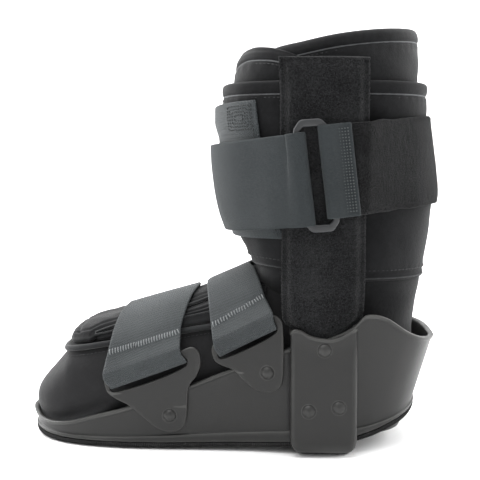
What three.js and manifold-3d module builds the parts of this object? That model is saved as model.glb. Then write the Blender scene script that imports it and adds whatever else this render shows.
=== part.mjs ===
// Short medical walking boot, closed and standing on its sole.
// Millimetres. X runs from the toe tip to the heel, the side with the ring is at -Y, Z is up.
import * as THREE from 'three';
import { mergeVertices } from 'three/addons/utils/BufferGeometryUtils.js';
import Module from 'manifold-3d';

const wasm = await Module();
wasm.setup();

// Overall sizes. The tables below give lengths as shares of these three.
const bootLength = 244;
const bootHeight = 246;
const halfWidth = 58.9;

// Clearances.
const gap = 0.3;
const strapGap = 0.5;
const rearStrapGap = 1;

// Sheet thicknesses.
const shellWall = 2.6;
const linerWall = 5;
const footFlap = 4.7;
const legFlap = 4.5;
const legFlapEdge = 1.5;
const wrapSide = 3.2;
const panelSheet = 1.7;
const webbing = 1.7;
const fleeceStrap = 2.2;
const tabWebbing = 1.5;
const bracketPlate = 2.4;

// Turns a table of shares into rows of lengths with named columns.
function columns(names, shares, sizes) {
  return shares.map((row) => {
    const entry = {};
    names.forEach((name, k) => {
      entry[name] = row[k] * sizes[k];
    });
    return entry;
  });
}

// Shell: half-width of the side wall at the floor, along the boot.
const outline = columns(
  ['along', 'half'],
  [
    [0.0157, 0],
    [0.0204, 0.1712],
    [0.0374, 0.3333],
    [0.0657, 0.4775],
    [0.1091, 0.6036],
    [0.17, 0.6937],
    [0.2483, 0.7477],
    [0.3439, 0.7676],
    [0.4309, 0.7712],
    [0.5178, 0.7856],
    [0.583, 0.8108],
    [0.6352, 0.8396],
    [0.6917, 0.8432],
    [0.7483, 0.8252],
    [0.7961, 0.7784],
    [0.8265, 0.7261],
    [0.857, 0.6486],
    [0.883, 0.5441],
    [0.903, 0.4],
    [0.9143, 0.2252],
    [0.9178, 0],
  ],
  [bootLength, halfWidth],
);

// Shell: height of the upper edge, in three runs.
const rim = columns(
  ['along', 'up'],
  [
    [-0.0126, 0.0672],
    [0, 0.0655],
    [0.0178, 0.0543],
    [0.0374, 0.0483],
    [0.0657, 0.0474],
    [0.0961, 0.0509],
    [0.1265, 0.0578],
    [0.17, 0.0716],
    [0.2613, 0.0983],
    [0.4135, 0.1543],
    [0.5091, 0.1931],
    [0.6413, 0.244],
  ],
  [bootLength, bootHeight],
);
const pocketRim = columns(
  ['along', 'up'],
  [
    [0.6417, 0.2845],
    [0.6543, 0.2884],
    [0.6657, 0.2841],
    [0.6787, 0.275],
    [0.7004, 0.2672],
    [0.7217, 0.2647],
    [0.7396, 0.2664],
    [0.7561, 0.2733],
    [0.77, 0.2845],
    [0.783, 0.2974],
    [0.797, 0.3112],
  ],
  [bootLength, bootHeight],
);
const heelRim = columns(
  ['along', 'up'],
  [
    [0.803, 0.3172],
    [0.8152, 0.325],
    [0.8361, 0.328],
    [0.8622, 0.3203],
    [0.887, 0.303],
    [0.9135, 0.2828],
    [0.9417, 0.2655],
    [0.9613, 0.256],
    [0.983, 0.2491],
    [1.0048, 0.2457],
  ],
  [bootLength, bootHeight],
);

// Underside of the outsole, with its toe spring and heel bevel.
const sole = columns(
  ['along', 'up'],
  [
    [-0.0126, 0.0138],
    [0.0157, 0.0069],
    [0.0396, 0.003],
    [0.07, 0.0009],
    [0.1048, 0],
    [0.7352, 0],
    [0.7613, 0.0047],
    [0.7787, 0.0103],
    [0.8004, 0.0181],
    [0.8265, 0.0276],
    [0.8526, 0.0353],
    [0.883, 0.0427],
    [0.9048, 0.0474],
    [0.9222, 0.0552],
    [0.9526, 0.0733],
  ],
  [bootLength, bootHeight],
);

// Upper edge of the band round the foot of the shell.
const welt = columns(
  ['along', 'up'],
  [
    [-0.0126, 0.0302],
    [0.0157, 0.0259],
    [0.0396, 0.0241],
    [0.07, 0.0228],
    [0.1048, 0.0224],
    [0.193, 0.0241],
    [0.3143, 0.0297],
    [0.4652, 0.0388],
    [0.6387, 0.0504],
    [0.8048, 0.0595],
    [0.8491, 0.0672],
    [0.8861, 0.0767],
    [0.9174, 0.0862],
    [0.9526, 0.1034],
  ],
  [bootLength, bootHeight],
);

// Soft boot: leg sections, seen from above at each height.
const leg = columns(
  ['up', 'front', 'back', 'half'],
  [
    [0.0638, 0.6352, 0.907, 0.5586],
    [0.0862, 0.6243, 0.9204, 0.6306],
    [0.1379, 0.6091, 0.9309, 0.6883],
    [0.2241, 0.5961, 0.9383, 0.7045],
    [0.3103, 0.59, 0.9465, 0.7135],
    [0.4138, 0.5778, 0.957, 0.7387],
    [0.4741, 0.5643, 0.957, 0.7495],
    [0.5517, 0.5422, 0.9622, 0.7658],
    [0.6121, 0.5304, 0.963, 0.7802],
    [0.6897, 0.5239, 0.9548, 0.8],
    [0.806, 0.5235, 0.9457, 0.8252],
    [0.8707, 0.5274, 0.9478, 0.8378],
    [1.0259, 0.5417, 0.9404, 0.845],
  ],
  [bootHeight, bootLength, bootLength, halfWidth],
);

// Soft boot: foot sections, seen from the front at each place along it.
const foot = columns(
  ['along', 'half', 'low', 'high'],
  [
    [0.0135, 0.1171, 0.0711, 0.1069],
    [0.0178, 0.2432, 0.0586, 0.1172],
    [0.0326, 0.3784, 0.0457, 0.1388],
    [0.0657, 0.5153, 0.0371, 0.175],
    [0.0983, 0.5946, 0.0349, 0.2121],
    [0.1113, 0.6162, 0.0349, 0.2328],
    [0.1309, 0.6378, 0.0353, 0.2483],
    [0.157, 0.6577, 0.0362, 0.2612],
    [0.1961, 0.6739, 0.0371, 0.272],
    [0.2483, 0.6829, 0.0384, 0.2853],
    [0.3439, 0.6829, 0.0414, 0.3116],
    [0.4309, 0.6829, 0.0444, 0.3379],
    [0.5178, 0.6847, 0.0474, 0.3733],
    [0.5657, 0.6919, 0.0491, 0.3948],
    [0.6091, 0.7027, 0.0509, 0.4073],
    [0.7135, 0.7027, 0.0543, 0.3707],
  ],
  [bootLength, halfWidth, bootHeight, bootHeight],
);

// Covered upright: front and back edges at each height.
const upright = columns(
  ['up', 'front', 'back'],
  [
    [0.0862, 0.6596, 0.7822],
    [0.2957, 0.6587, 0.7826],
    [0.3155, 0.6396, 0.797],
    [0.3362, 0.6274, 0.8091],
    [0.4073, 0.6239, 0.8126],
    [0.5259, 0.6209, 0.8135],
    [0.7414, 0.6209, 0.8161],
    [0.8793, 0.6157, 0.8178],
    [0.8991, 0.6148, 0.8178],
  ],
  [bootHeight, bootLength, bootLength],
);

// Calf wrap: front and back of its outer face in the middle plane.
const wrapFront = columns(
  ['up', 'out'],
  [
    [0.4138, 0.5596],
    [0.4353, 0.5465],
    [0.4526, 0.5361],
    [0.4741, 0.5265],
    [0.5086, 0.5117],
    [0.5517, 0.4978],
    [0.6034, 0.4878],
    [0.6724, 0.4809],
    [0.7414, 0.4787],
    [0.806, 0.4791],
    [0.8578, 0.4791],
  ],
  [bootHeight, bootLength],
);
const wrapBack = columns(
  ['up', 'out'],
  [
    [0.4052, 0.9674],
    [0.4353, 0.9726],
    [0.4741, 0.9774],
    [0.5388, 0.9848],
    [0.5948, 0.9891],
    [0.6466, 0.9839],
    [0.7112, 0.9752],
    [0.7759, 0.9691],
    [0.819, 0.9696],
    [0.8578, 0.9717],
  ],
  [bootHeight, bootLength],
);

// Strap brackets, side view.
const forefootBracket = columns(
  ['along', 'up'],
  [
    [0.2091, 0.1578],
    [0.2117, 0.144],
    [0.2178, 0.131],
    [0.2374, 0.1177],
    [0.2643, 0.1043],
    [0.3004, 0.0759],
    [0.3287, 0.0534],
    [0.3504, 0.0444],
    [0.3743, 0.044],
    [0.3943, 0.0543],
    [0.4017, 0.0733],
    [0.4096, 0.1517],
    [0.4265, 0.1763],
    [0.4357, 0.2022],
    [0.4339, 0.2267],
    [0.4257, 0.2388],
    [0.4135, 0.2431],
    [0.393, 0.2358],
    [0.2152, 0.1707],
  ],
  [bootLength, bootHeight],
);
const forefootSlot = columns(
  ['along', 'up'],
  [
    [0.2274, 0.1353],
    [0.4039, 0.2022],
    [0.4022, 0.2151],
    [0.2239, 0.1491],
    [0.2222, 0.1422],
  ],
  [bootLength, bootHeight],
);
const instepBracket = columns(
  ['along', 'up'],
  [
    [0.4622, 0.2405],
    [0.4639, 0.2259],
    [0.4704, 0.2112],
    [0.4874, 0.2009],
    [0.5109, 0.1922],
    [0.5396, 0.1647],
    [0.5604, 0.1483],
    [0.5809, 0.1418],
    [0.6048, 0.1435],
    [0.6222, 0.156],
    [0.6274, 0.1767],
    [0.6274, 0.2888],
    [0.6239, 0.3078],
    [0.6143, 0.3181],
    [0.6013, 0.3207],
    [0.4691, 0.2526],
  ],
  [bootLength, bootHeight],
);
const instepSlot = columns(
  ['along', 'up'],
  [
    [0.4839, 0.2181],
    [0.6126, 0.2845],
    [0.61, 0.2974],
    [0.4787, 0.2302],
    [0.477, 0.2233],
  ],
  [bootLength, bootHeight],
);

// Line where the near foot flap meets the far one.
const flapEdge = columns(
  ['along', 'up'],
  [
    [0.1657, 0.2345],
    [0.1787, 0.2431],
    [0.1961, 0.25],
    [0.2222, 0.2586],
    [0.3004, 0.2802],
    [0.4309, 0.319],
    [0.5178, 0.3556],
    [0.57, 0.375],
  ],
  [bootLength, bootHeight],
);

// Smooth monotone curve through two columns of a table.
function curve(rows, from, to) {
  const x = rows.map((r) => r[from]);
  const y = rows.map((r) => r[to]);
  const last = x.length - 1;
  const rise = x.slice(1).map((v, k) => (y[k + 1] - y[k]) / (v - x[k]));
  const slope = x.map((v, k) => {
    if (k === 0) return rise[0];
    if (k === last) return rise[last - 1];
    if (rise[k - 1] * rise[k] <= 0) return 0;
    return (2 * rise[k - 1] * rise[k]) / (rise[k - 1] + rise[k]);
  });
  return (v) => {
    if (v <= x[0]) return y[0];
    if (v >= x[last]) return y[last];
    const k = x.findIndex((next) => next > v) - 1;
    const width = x[k + 1] - x[k];
    const t = (v - x[k]) / width;
    const a = (1 + 2 * t) * (1 - t) ** 2;
    const b = t * (1 - t) ** 2;
    const c = t * t * (3 - 2 * t);
    const d = t * t * (t - 1);
    return a * y[k] + b * width * slope[k] + c * y[k + 1] + d * width * slope[k + 1];
  };
}

const mix = THREE.MathUtils.lerp;
const ease = THREE.MathUtils.smoothstep;
const rad = THREE.MathUtils.degToRad;

// Evenly spaced values, both ends included.
function steps(from, to, count) {
  return Array.from({ length: count }, (_, k) => mix(from, to, k / (count - 1)));
}

// Turns a geometry's faces so that they all point outwards.
function outward(geometry) {
  const bare = geometry.clone();
  bare.deleteAttribute('normal');
  bare.deleteAttribute('uv');
  const closed = mergeVertices(bare, 1e-5);
  const place = closed.getAttribute('position');
  const index = closed.index.array;
  const corner = (k) => new THREE.Vector3().fromBufferAttribute(place, index[k]);
  let volume = 0;
  for (let k = 0; k < index.length; k += 3) {
    volume += corner(k).dot(corner(k + 1).cross(corner(k + 2)));
  }
  if (volume < 0) {
    for (let k = 0; k < index.length; k += 3) {
      [index[k + 1], index[k + 2]] = [index[k + 2], index[k + 1]];
    }
  }
  closed.computeVertexNormals();
  return closed;
}

// Geometry from a list of points and triangles.
function body(points, faces) {
  const geometry = new THREE.BufferGeometry().setFromPoints(points);
  geometry.setIndex(faces.flat());
  return outward(geometry);
}

// Solid for joining and cutting.
function solidOf(geometry) {
  const closed = outward(geometry);
  return new wasm.Manifold(new wasm.Mesh({
    numProp: 3,
    vertProperties: closed.getAttribute('position').array,
    triVerts: new Uint32Array(closed.index.array),
  }));
}
function geometryOf(solid) {
  const mesh = solid.getMesh();
  const geometry = new THREE.BufferGeometry();
  geometry.setAttribute('position', new THREE.BufferAttribute(mesh.vertProperties, 3));
  geometry.setIndex(new THREE.BufferAttribute(mesh.triVerts, 1));
  geometry.computeVertexNormals();
  return geometry;
}

// The same shape on the other side of the middle plane.
function mirrored(geometry) {
  return outward(geometry.clone().scale(1, -1, 1));
}

// Walls between neighbouring loops of equal length.
function walls(loops, first, closed) {
  const faces = [];
  for (let i = 0; i + 1 < loops.length; i++) {
    const count = loops[i].length;
    for (let j = 0; j < (closed ? count : count - 1); j++) {
      const a = first + i * count + j;
      const b = first + i * count + ((j + 1) % count);
      faces.push([a, b, b + count], [a, b + count, a + count]);
    }
  }
  return faces;
}

// Solid through a row of closed loops, with flat fans at both ends.
function loft(loops) {
  const count = loops[0].length;
  const points = loops.flat();
  const faces = walls(loops, 0, true);
  [0, loops.length - 1].forEach((k) => {
    const middle = new THREE.Vector3();
    loops[k].forEach((v) => middle.addScaledVector(v, 1 / count));
    const hub = points.push(middle) - 1;
    for (let j = 0; j < count; j++) {
      const a = k * count + j;
      const b = k * count + ((j + 1) % count);
      faces.push(k === 0 ? [hub, b, a] : [hub, a, b]);
    }
  });
  return body(points, faces);
}

// Sheet between an inner and an outer grid of points. A closed one runs round in a loop.
function sheet(rows, closed) {
  const loops = rows.map(({ inner, outer }) => [...inner, ...outer.slice().reverse()]);
  const count = loops[0].length;
  const half = count / 2;
  const points = loops.flat();
  const faces = [];
  const wrapRow = (k) => (closed ? (k + rows.length) % rows.length : k);
  const runs = closed ? rows.length : rows.length - 1;
  for (let i = 0; i < runs; i++) {
    for (let j = 0; j < count; j++) {
      const a = i * count + j;
      const b = i * count + ((j + 1) % count);
      const c = wrapRow(i + 1) * count + ((j + 1) % count);
      const d = wrapRow(i + 1) * count + j;
      faces.push([a, b, c], [a, c, d]);
    }
  }
  if (!closed) {
    [0, rows.length - 1].forEach((i) => {
      for (let j = 0; j + 1 < half; j++) {
        const a = i * count + j;
        const d = i * count + count - 1 - j;
        const quad = [[a, d, d - 1], [a, d - 1, a + 1]];
        faces.push(...(i === 0 ? quad : quad.map(([p, q, r]) => [p, r, q])));
      }
    });
  }
  return body(points, faces);
}

// Prism across the boot with a side-view outline.
function acrossPrism(rows, halfSpan) {
  const outline = new THREE.Shape(rows.map((r) => new THREE.Vector2(r.along, r.up)));
  return solidOf(
    new THREE.ExtrudeGeometry(outline, { depth: 2 * halfSpan, bevelEnabled: false })
      .rotateX(Math.PI / 2)
      .translate(0, halfSpan, 0),
  );
}

// Upright prism with rounded corners, seen from above.
const cornerFacets = 3;
function roundedPost(front, back, half, corner, low, high) {
  const quarter = Math.PI / 2;
  const shape = new THREE.Shape();
  shape.absarc(back - corner, half - corner, corner, 0, quarter);
  shape.absarc(front + corner, half - corner, corner, quarter, 2 * quarter);
  shape.absarc(front + corner, corner - half, corner, 2 * quarter, 3 * quarter);
  shape.absarc(back - corner, corner - half, corner, 3 * quarter, 4 * quarter);
  const settings = { depth: high - low, bevelEnabled: false, curveSegments: cornerFacets };
  return solidOf(new THREE.ExtrudeGeometry(shape, settings).translate(0, 0, low));
}

// Point of a rounded rectangle with half-sizes a and b, and its outward direction.
const roundA = 2.2;
const roundB = 2.8;
function oval(a, b, angle) {
  const c = Math.cos(angle);
  const s = Math.sin(angle);
  const u = Math.sign(c) * Math.abs(c) ** (2 / roundA);
  const v = Math.sign(s) * Math.abs(s) ** (2 / roundB);
  const nu = (Math.sign(u) * Math.abs(u) ** (roundA - 1)) / a;
  const nv = (Math.sign(v) * Math.abs(v) ** (roundB - 1)) / b;
  const size = Math.hypot(nu, nv);
  return { u: a * u, v: b * v, nu: nu / size, nv: nv / size };
}

// Shell wall. It leans out towards the toe, the heel and the sides with height.
const toeLean = 0.23;
const heelLean = 0.28;
const sideLean = 0.026;
const heelSideLean = 0.146;
const toeEnd = outline[0].along;
const heelEnd = outline[outline.length - 1].along;
const leanPivot = 0.64 * bootLength;
const flareStart = 0.64 * bootLength;
const flareEnd = 0.79 * bootLength;
const shellTop = 0.37 * bootHeight;

function leanAlong(x) {
  if (x < leanPivot) return (-toeLean * (leanPivot - x)) / (leanPivot - toeEnd);
  return (heelLean * (x - leanPivot)) / (heelEnd - leanPivot);
}
const wallHalf = curve(outline, 'along', 'half');
function wallSlope(x) {
  return mix(sideLean, heelSideLean, ease(x, flareStart, flareEnd));
}

// Half-width of the outer wall face at a place along the boot and a height.
function wallAt(x, z) {
  const foot = x - leanAlong(x) * z;
  return wallHalf(foot) + wallSlope(foot) * z;
}

// Loop of the shell's outer face, moved out by a distance, on the plane z = low + climb * x.
const loopFacets = 52;
const outlineCurve = new THREE.CatmullRomCurve3(
  [
    ...outline.map((r) => new THREE.Vector3(r.along, -r.half, 0)),
    ...outline.slice(1, -1).reverse().map((r) => new THREE.Vector3(r.along, r.half, 0)),
  ],
  true,
  'centripetal',
);
const outlineLoop = outlineCurve.getSpacedPoints(loopFacets).slice(0, loopFacets);
const widest = Math.max(...outline.map((r) => r.half));
function shellLoop(low, climb, out) {
  const lifted = outlineLoop.map((v) => {
    const z = low + climb * v.x;
    const side = (wallSlope(v.x) * z * v.y) / Math.max(wallHalf(v.x), widest / 4);
    return new THREE.Vector3(v.x + leanAlong(v.x) * z, v.y + side, z);
  });
  return lifted.map((v, k) => {
    const before = lifted[(k + loopFacets - 1) % loopFacets];
    const after = lifted[(k + 1) % loopFacets];
    const way = new THREE.Vector3(after.y - before.y, before.x - after.x, 0).normalize();
    return v.clone().addScaledVector(way, out);
  });
}

// Ankle pockets: box-shaped channels at both sides that take the uprights.
const pocketFront = 0.6445 * bootLength;
const pocketBack = 0.797 * bootLength;
const pocketCorner = 2.6;
const slitWidth = 1.7;
const slitDepth = 17;
const treadThick = 2.8;
const bandStep = 1.2;
const floorLow = 7.6;
const floorClimb = 0.03;
const farUp = 2 * bootHeight;
const overrun = 40;

function lowered(rows, by) {
  return rows.map((r) => ({ along: r.along, up: r.up + by }));
}

// Side-view outline between a lower and an upper run.
function between(lower, upper) {
  return [...lower, ...upper.slice().reverse()];
}

const rivetHead = 4;
const rivetRise = 1.9;
const rivetShank = 2.2;
const rivetFacets = 8;
const holeFacets = 8;
const pocketRivets = [
  { name: 'top', along: 0.7217 * bootLength, up: 0.2461 * bootHeight },
  { name: 'front', along: 0.687 * bootLength, up: 0.106 * bootHeight },
  { name: 'back', along: 0.7552 * bootLength, up: 0.1151 * bootHeight },
];
const forefootRivet = { along: 0.363 * bootLength, up: 0.0815 * bootHeight };
const instepRivet = { along: 0.5917 * bootLength, up: 0.1875 * bootHeight };

// Holes across both side walls, between two distances from the middle plane.
function sideHoles(place, radius, inner, outer) {
  const near = new THREE.CylinderGeometry(radius, radius, outer - inner, holeFacets)
    .translate(place.along, -(inner + outer) / 2, place.up);
  return solidOf(near).add(solidOf(mirrored(near)));
}

function makeShell() {
  const underside = lowered(sole, treadThick + gap);
  const wallRuns = between(underside, [...rim, ...pocketRim, ...heelRim]);
  const core = solidOf(loft([shellLoop(0, 0, 0), shellLoop(shellTop, 0, 0)]));
  const pocket = roundedPost(pocketFront, pocketBack, halfWidth, pocketCorner, 0, shellTop);
  const band = solidOf(loft([shellLoop(0, 0, bandStep), shellLoop(shellTop, 0, bandStep)]))
    .intersect(acrossPrism(between(underside, welt), farUp));
  const hollow = solidOf(loft([
    shellLoop(floorLow, floorClimb, -shellWall),
    shellLoop(shellTop + overrun, 0, -shellWall),
  ]));
  const channel = roundedPost(
    pocketFront + shellWall,
    pocketBack - shellWall,
    halfWidth - shellWall,
    pocketCorner - 1,
    floorLow + floorClimb * pocketBack,
    shellTop + overrun,
  );
  const slitLow = treadThick + gap + floorLow / 2;
  const slit = new THREE.BoxGeometry(slitWidth, slitDepth, shellTop).translate(
    pocketFront - slitWidth / 2,
    slitDepth / 2 - halfWidth - 1,
    slitLow + shellTop / 2,
  );
  let shell = core.add(pocket).intersect(acrossPrism(wallRuns, farUp)).add(band);
  shell = shell.subtract(hollow).subtract(channel);
  shell = shell.subtract(solidOf(slit)).subtract(solidOf(mirrored(slit)));
  pocketRivets.forEach((place) => {
    shell = shell.subtract(
      sideHoles(place, rivetShank + gap, halfWidth - 2 * shellWall, halfWidth + 1),
    );
  });
  [forefootRivet, instepRivet].forEach((place) => {
    const wall = wallAt(place.along, place.up);
    shell = shell.subtract(
      sideHoles(place, rivetShank + gap, wall - 2 * shellWall, wall + shellWall),
    );
  });
  return geometryOf(shell);
}

const outsoleStep = 0.6;
const padFront = 0.662 * bootLength;
const padBack = 0.782 * bootLength;
const padHalf = halfWidth - 1.6;
function makeOutsole() {
  const slab = solidOf(
    loft([shellLoop(-1, 0, outsoleStep), shellLoop(shellTop, 0, outsoleStep)]),
  );
  const pads = roundedPost(padFront, padBack, padHalf, 2 * pocketCorner, -1, shellTop);
  const layer = acrossPrism(between(sole, lowered(sole, treadThick)), farUp);
  return geometryOf(slab.add(pads).intersect(layer));
}

// Leg of the soft boot. The turn is measured from the front towards the near side.
const legFront = curve(leg, 'up', 'front');
const legBack = curve(leg, 'up', 'back');
const legHalf = curve(leg, 'up', 'half');
function legPoint(turn, z, out) {
  const a = (legBack(z) - legFront(z)) / 2;
  const o = oval(a, legHalf(z), turn);
  const x = legBack(z) - a - o.u - o.nu * out;
  return new THREE.Vector3(x, -o.v - o.nv * out, z);
}
function legLoop(z, out, count) {
  return Array.from({ length: count }, (_, k) => legPoint((2 * Math.PI * k) / count, z, out));
}

// Foot of the soft boot. The turn is measured from the top towards the near side.
const footHalf = curve(foot, 'along', 'half');
const footLow = curve(foot, 'along', 'low');
const footHigh = curve(foot, 'along', 'high');
function footBase(turn, x) {
  const b = (footHigh(x) - footLow(x)) / 2;
  const o = oval(b, footHalf(x), turn);
  return new THREE.Vector3(x, -o.v, footHigh(x) - b + o.u);
}
const probe = 0.5;
function footPoint(turn, x, out) {
  const here = footBase(turn, x);
  const along = footBase(turn, x + probe).sub(footBase(turn, x - probe));
  const round = footBase(turn + rad(probe), x).sub(footBase(turn - rad(probe), x));
  const way = along.cross(round).normalize();
  if (way.dot(new THREE.Vector3(0, here.y, here.z - footLow(x))) < 0) way.negate();
  return here.addScaledVector(way, out);
}
function footLoop(x, inset, count) {
  return Array.from({ length: count }, (_, k) => {
    const b = (footHigh(x) - footLow(x)) / 2;
    const o = oval(b - inset, footHalf(x) - inset, (2 * Math.PI * k) / count);
    return new THREE.Vector3(x, -o.v, footHigh(x) - b + o.u);
  });
}

const legFacets = 30;
const legTurn = (2 * Math.PI) / legFacets;
const footFacets = 20;
const rearLow = 0.112 * bootLength;
const rearTop = [
  { along: 0, up: 0.84 * bootHeight },
  { along: 0.51 * bootLength, up: 0.84 * bootHeight },
  { along: 0.563 * bootLength, up: 0.895 * bootHeight },
  { along: 0.6 * bootLength, up: 0.925 * bootHeight },
  { along: 0.663 * bootLength, up: 0.9345 * bootHeight },
  { along: 0.752 * bootLength, up: 0.947 * bootHeight },
  { along: 0.845 * bootLength, up: 0.963 * bootHeight },
  { along: 0.91 * bootLength, up: 0.984 * bootHeight },
  { along: 0.96 * bootLength, up: 0.999 * bootHeight },
];
const rearCut = [...rearTop, { along: 0.96 * bootLength, up: 0 }, { along: 0, up: 0 }];
const toeCavity = 0.045 * bootLength;
const footEnd = foot[foot.length - 1].along;
const insoleTop = linerWall + 1;
function makeLiner() {
  const legOuter = solidOf(loft(leg.map((r) => legLoop(r.up, 0, legFacets))));
  const footOuter = solidOf(loft(foot.map((r) => footLoop(r.along, 0, footFacets))));
  const legHeights = [leg[1].up + insoleTop, leg[3].up, leg[5].up, leg[7].up, leg[9].up];
  const legInner = solidOf(loft([
    ...legHeights.map((z) => legLoop(z, -linerWall, legFacets)),
    legLoop(bootHeight + overrun, -linerWall, legFacets),
  ]));
  const places = [toeCavity, 0.1 * bootLength, 0.16 * bootLength, 0.3 * bootLength];
  places.push(0.43 * bootLength, 0.52 * bootLength, 0.6 * bootLength, 0.7 * bootLength);
  const footInner = solidOf(loft(places.map((x) => footLoop(x, linerWall, footFacets))));
  const boot = legOuter.add(footOuter).subtract(legInner).subtract(footInner);
  return geometryOf(boot.intersect(acrossPrism(rearCut, farUp)));
}

// Front leg flap: lies on the soft boot, thins out under the uprights.
const legFlapReach = 5 * legTurn;
const legFlapLow = 0.455 * bootHeight;
const legFlapLastRow = 0.88 * bootHeight;
function legHeightsWithin(low, high) {
  return leg.map((r) => r.up).filter((z) => z > low + 1 && z < high - 1);
}
function legFlapThick(turn) {
  const t = Math.abs(turn) / legFlapReach;
  return t > 1 ? 0 : mix(legFlap, legFlapEdge, ease(t, 0.55, 1));
}
const legFlapTop = curve(
  columns(
    ['turn', 'up'],
    [[0, 0.923], [0.2, 0.931], [0.42, 0.937], [0.62, 0.932], [0.8, 0.918], [1, 0.898]],
    [legFlapReach, bootHeight],
  ),
  'turn',
  'up',
);
function makeFrontFlap() {
  const rows = steps(-legFlapReach, legFlapReach, 11).map((turn) => {
    const top = legFlapTop(Math.abs(turn));
    const heights = [legFlapLow, ...legHeightsWithin(legFlapLow, legFlapLastRow), top];
    const last = heights.length - 1;
    const thick = legFlapThick(turn);
    return {
      inner: heights.map((z) => legPoint(turn, z, gap)),
      outer: heights.map((z, k) => legPoint(turn, z, gap + thick * (k === last ? 0.72 : 1))),
    };
  });
  return sheet(rows, false);
}

// Calf wrap: right round the leg, over the front flap and under the uprights.
const wrapHemFront = 0.4345 * bootHeight;
const wrapHemBack = 0.412 * bootHeight;
const wrapTop = 0.8495 * bootHeight;
const wrapRoll = 5.6;
const wrapFrontOut = curve(wrapFront, 'up', 'out');
const wrapBackOut = curve(wrapBack, 'up', 'out');
function wrapInner(turn, z) {
  const covered = 1 - ease(Math.abs(turn), legFlapReach, legFlapReach + rad(16));
  const thick = Math.abs(turn) < legFlapReach ? legFlapThick(turn) : legFlapEdge * covered;
  return legPoint(turn, z, thick + (1 + covered) * gap);
}
const hemBlend = 12;
function wrapOuter(turn, z, extra) {
  const inner = wrapInner(turn, z);
  const front = wrapInner(0, z).x - wrapFrontOut(z);
  const back = wrapBackOut(z) - wrapInner(Math.PI, z).x;
  const frontness = ease(Math.cos(turn), 0.1, 0.95);
  const backness = ease(-Math.cos(turn), 0.25, 0.95);
  const thin = mix(0.7, 1, ease(z, wrapHemBack, wrapHemBack + hemBlend));
  let thick = wrapSide * thin;
  thick = mix(thick, front, frontness);
  thick = mix(thick, back, backness);
  const away = legPoint(turn, z, 10).sub(legPoint(turn, z, 0)).setLength(thick + extra);
  return inner.add(away);
}
function wrapHem(turn) {
  return mix(wrapHemFront, wrapHemBack, ease(1 - Math.cos(turn), 0.1, 1.1));
}
function makeCalfWrap() {
  const rows = steps(-Math.PI, Math.PI - legTurn, legFacets).map((turn) => {
    const low = wrapHem(turn);
    const main = legHeightsWithin(wrapHemFront, wrapTop - wrapRoll);
    const heights = [low, low + 2, ...main, wrapTop - wrapRoll, wrapTop - wrapRoll / 2, wrapTop];
    const extra = [-1, 0, ...main.map(() => 0), 0, 0.4, -1.4];
    return {
      inner: heights.map((z) => wrapInner(turn, z)),
      outer: heights.map((z, j) => wrapOuter(turn, z, extra[j])),
    };
  });
  return sheet(rows, true);
}

// Closure panel: from just past the middle plane to the near side, its free edge slanting.
const panelGap = 0.7;
const panelFar = rad(-16);
const panelNearTop = rad(46.5);
const panelNearLow = rad(57);
const panelTop = 0.7905 * bootHeight;
const panelTopRise = 0.0145 * bootHeight;
const panelLow = 0.4955 * bootHeight;
function panelPoint(across, up, out) {
  const near = mix(panelNearLow, panelNearTop, up);
  const turn = mix(panelFar, near, across);
  const high = panelTop + panelTopRise * across;
  return wrapOuter(turn, mix(panelLow, high, up), panelGap + out);
}
function makeClosurePanel() {
  const rows = steps(0, 1, 9).map((across) => ({
    inner: steps(0, 1, 7).map((up) => panelPoint(across, up, 0)),
    outer: steps(0, 1, 7).map((up) => panelPoint(across, up, panelSheet)),
  }));
  return sheet(rows, false);
}

// Covered uprights: flat, with thin sewn edges, leaning out with the calf.
const uprightHalf = 3.2;
const uprightEdgeHalf = 1.2;
const uprightEdgeWidth = 6;
const uprightPocketGap = 2.9;
const uprightFootSide = halfWidth - shellWall - uprightPocketGap - uprightHalf;
const uprightBend = 0.268 * bootHeight;
const uprightLean = 0.055;
const uprightFront = curve(upright, 'up', 'front');
const uprightBack = curve(upright, 'up', 'back');
function uprightSide(z) {
  return uprightFootSide + uprightLean * Math.max(0, z - uprightBend);
}
function uprightLoop(z, squeeze) {
  const a = uprightFront(z);
  const b = uprightBack(z);
  const s = uprightSide(z);
  const e = uprightEdgeHalf * squeeze;
  const f = uprightHalf * squeeze;
  const w = uprightEdgeWidth;
  return [
    [a, e], [a + w, f], [b - w, f], [b, e], [b, -e], [b - w, -f], [a + w, -f], [a, -e],
  ].map(([x, y]) => new THREE.Vector3(x, -(s + y), z));
}
function makeUpright() {
  const heights = upright.map((r) => r.up);
  const last = heights.length - 1;
  return loft(heights.map((z, k) => uprightLoop(z, k === last ? 0.45 : 1)));
}

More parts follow.
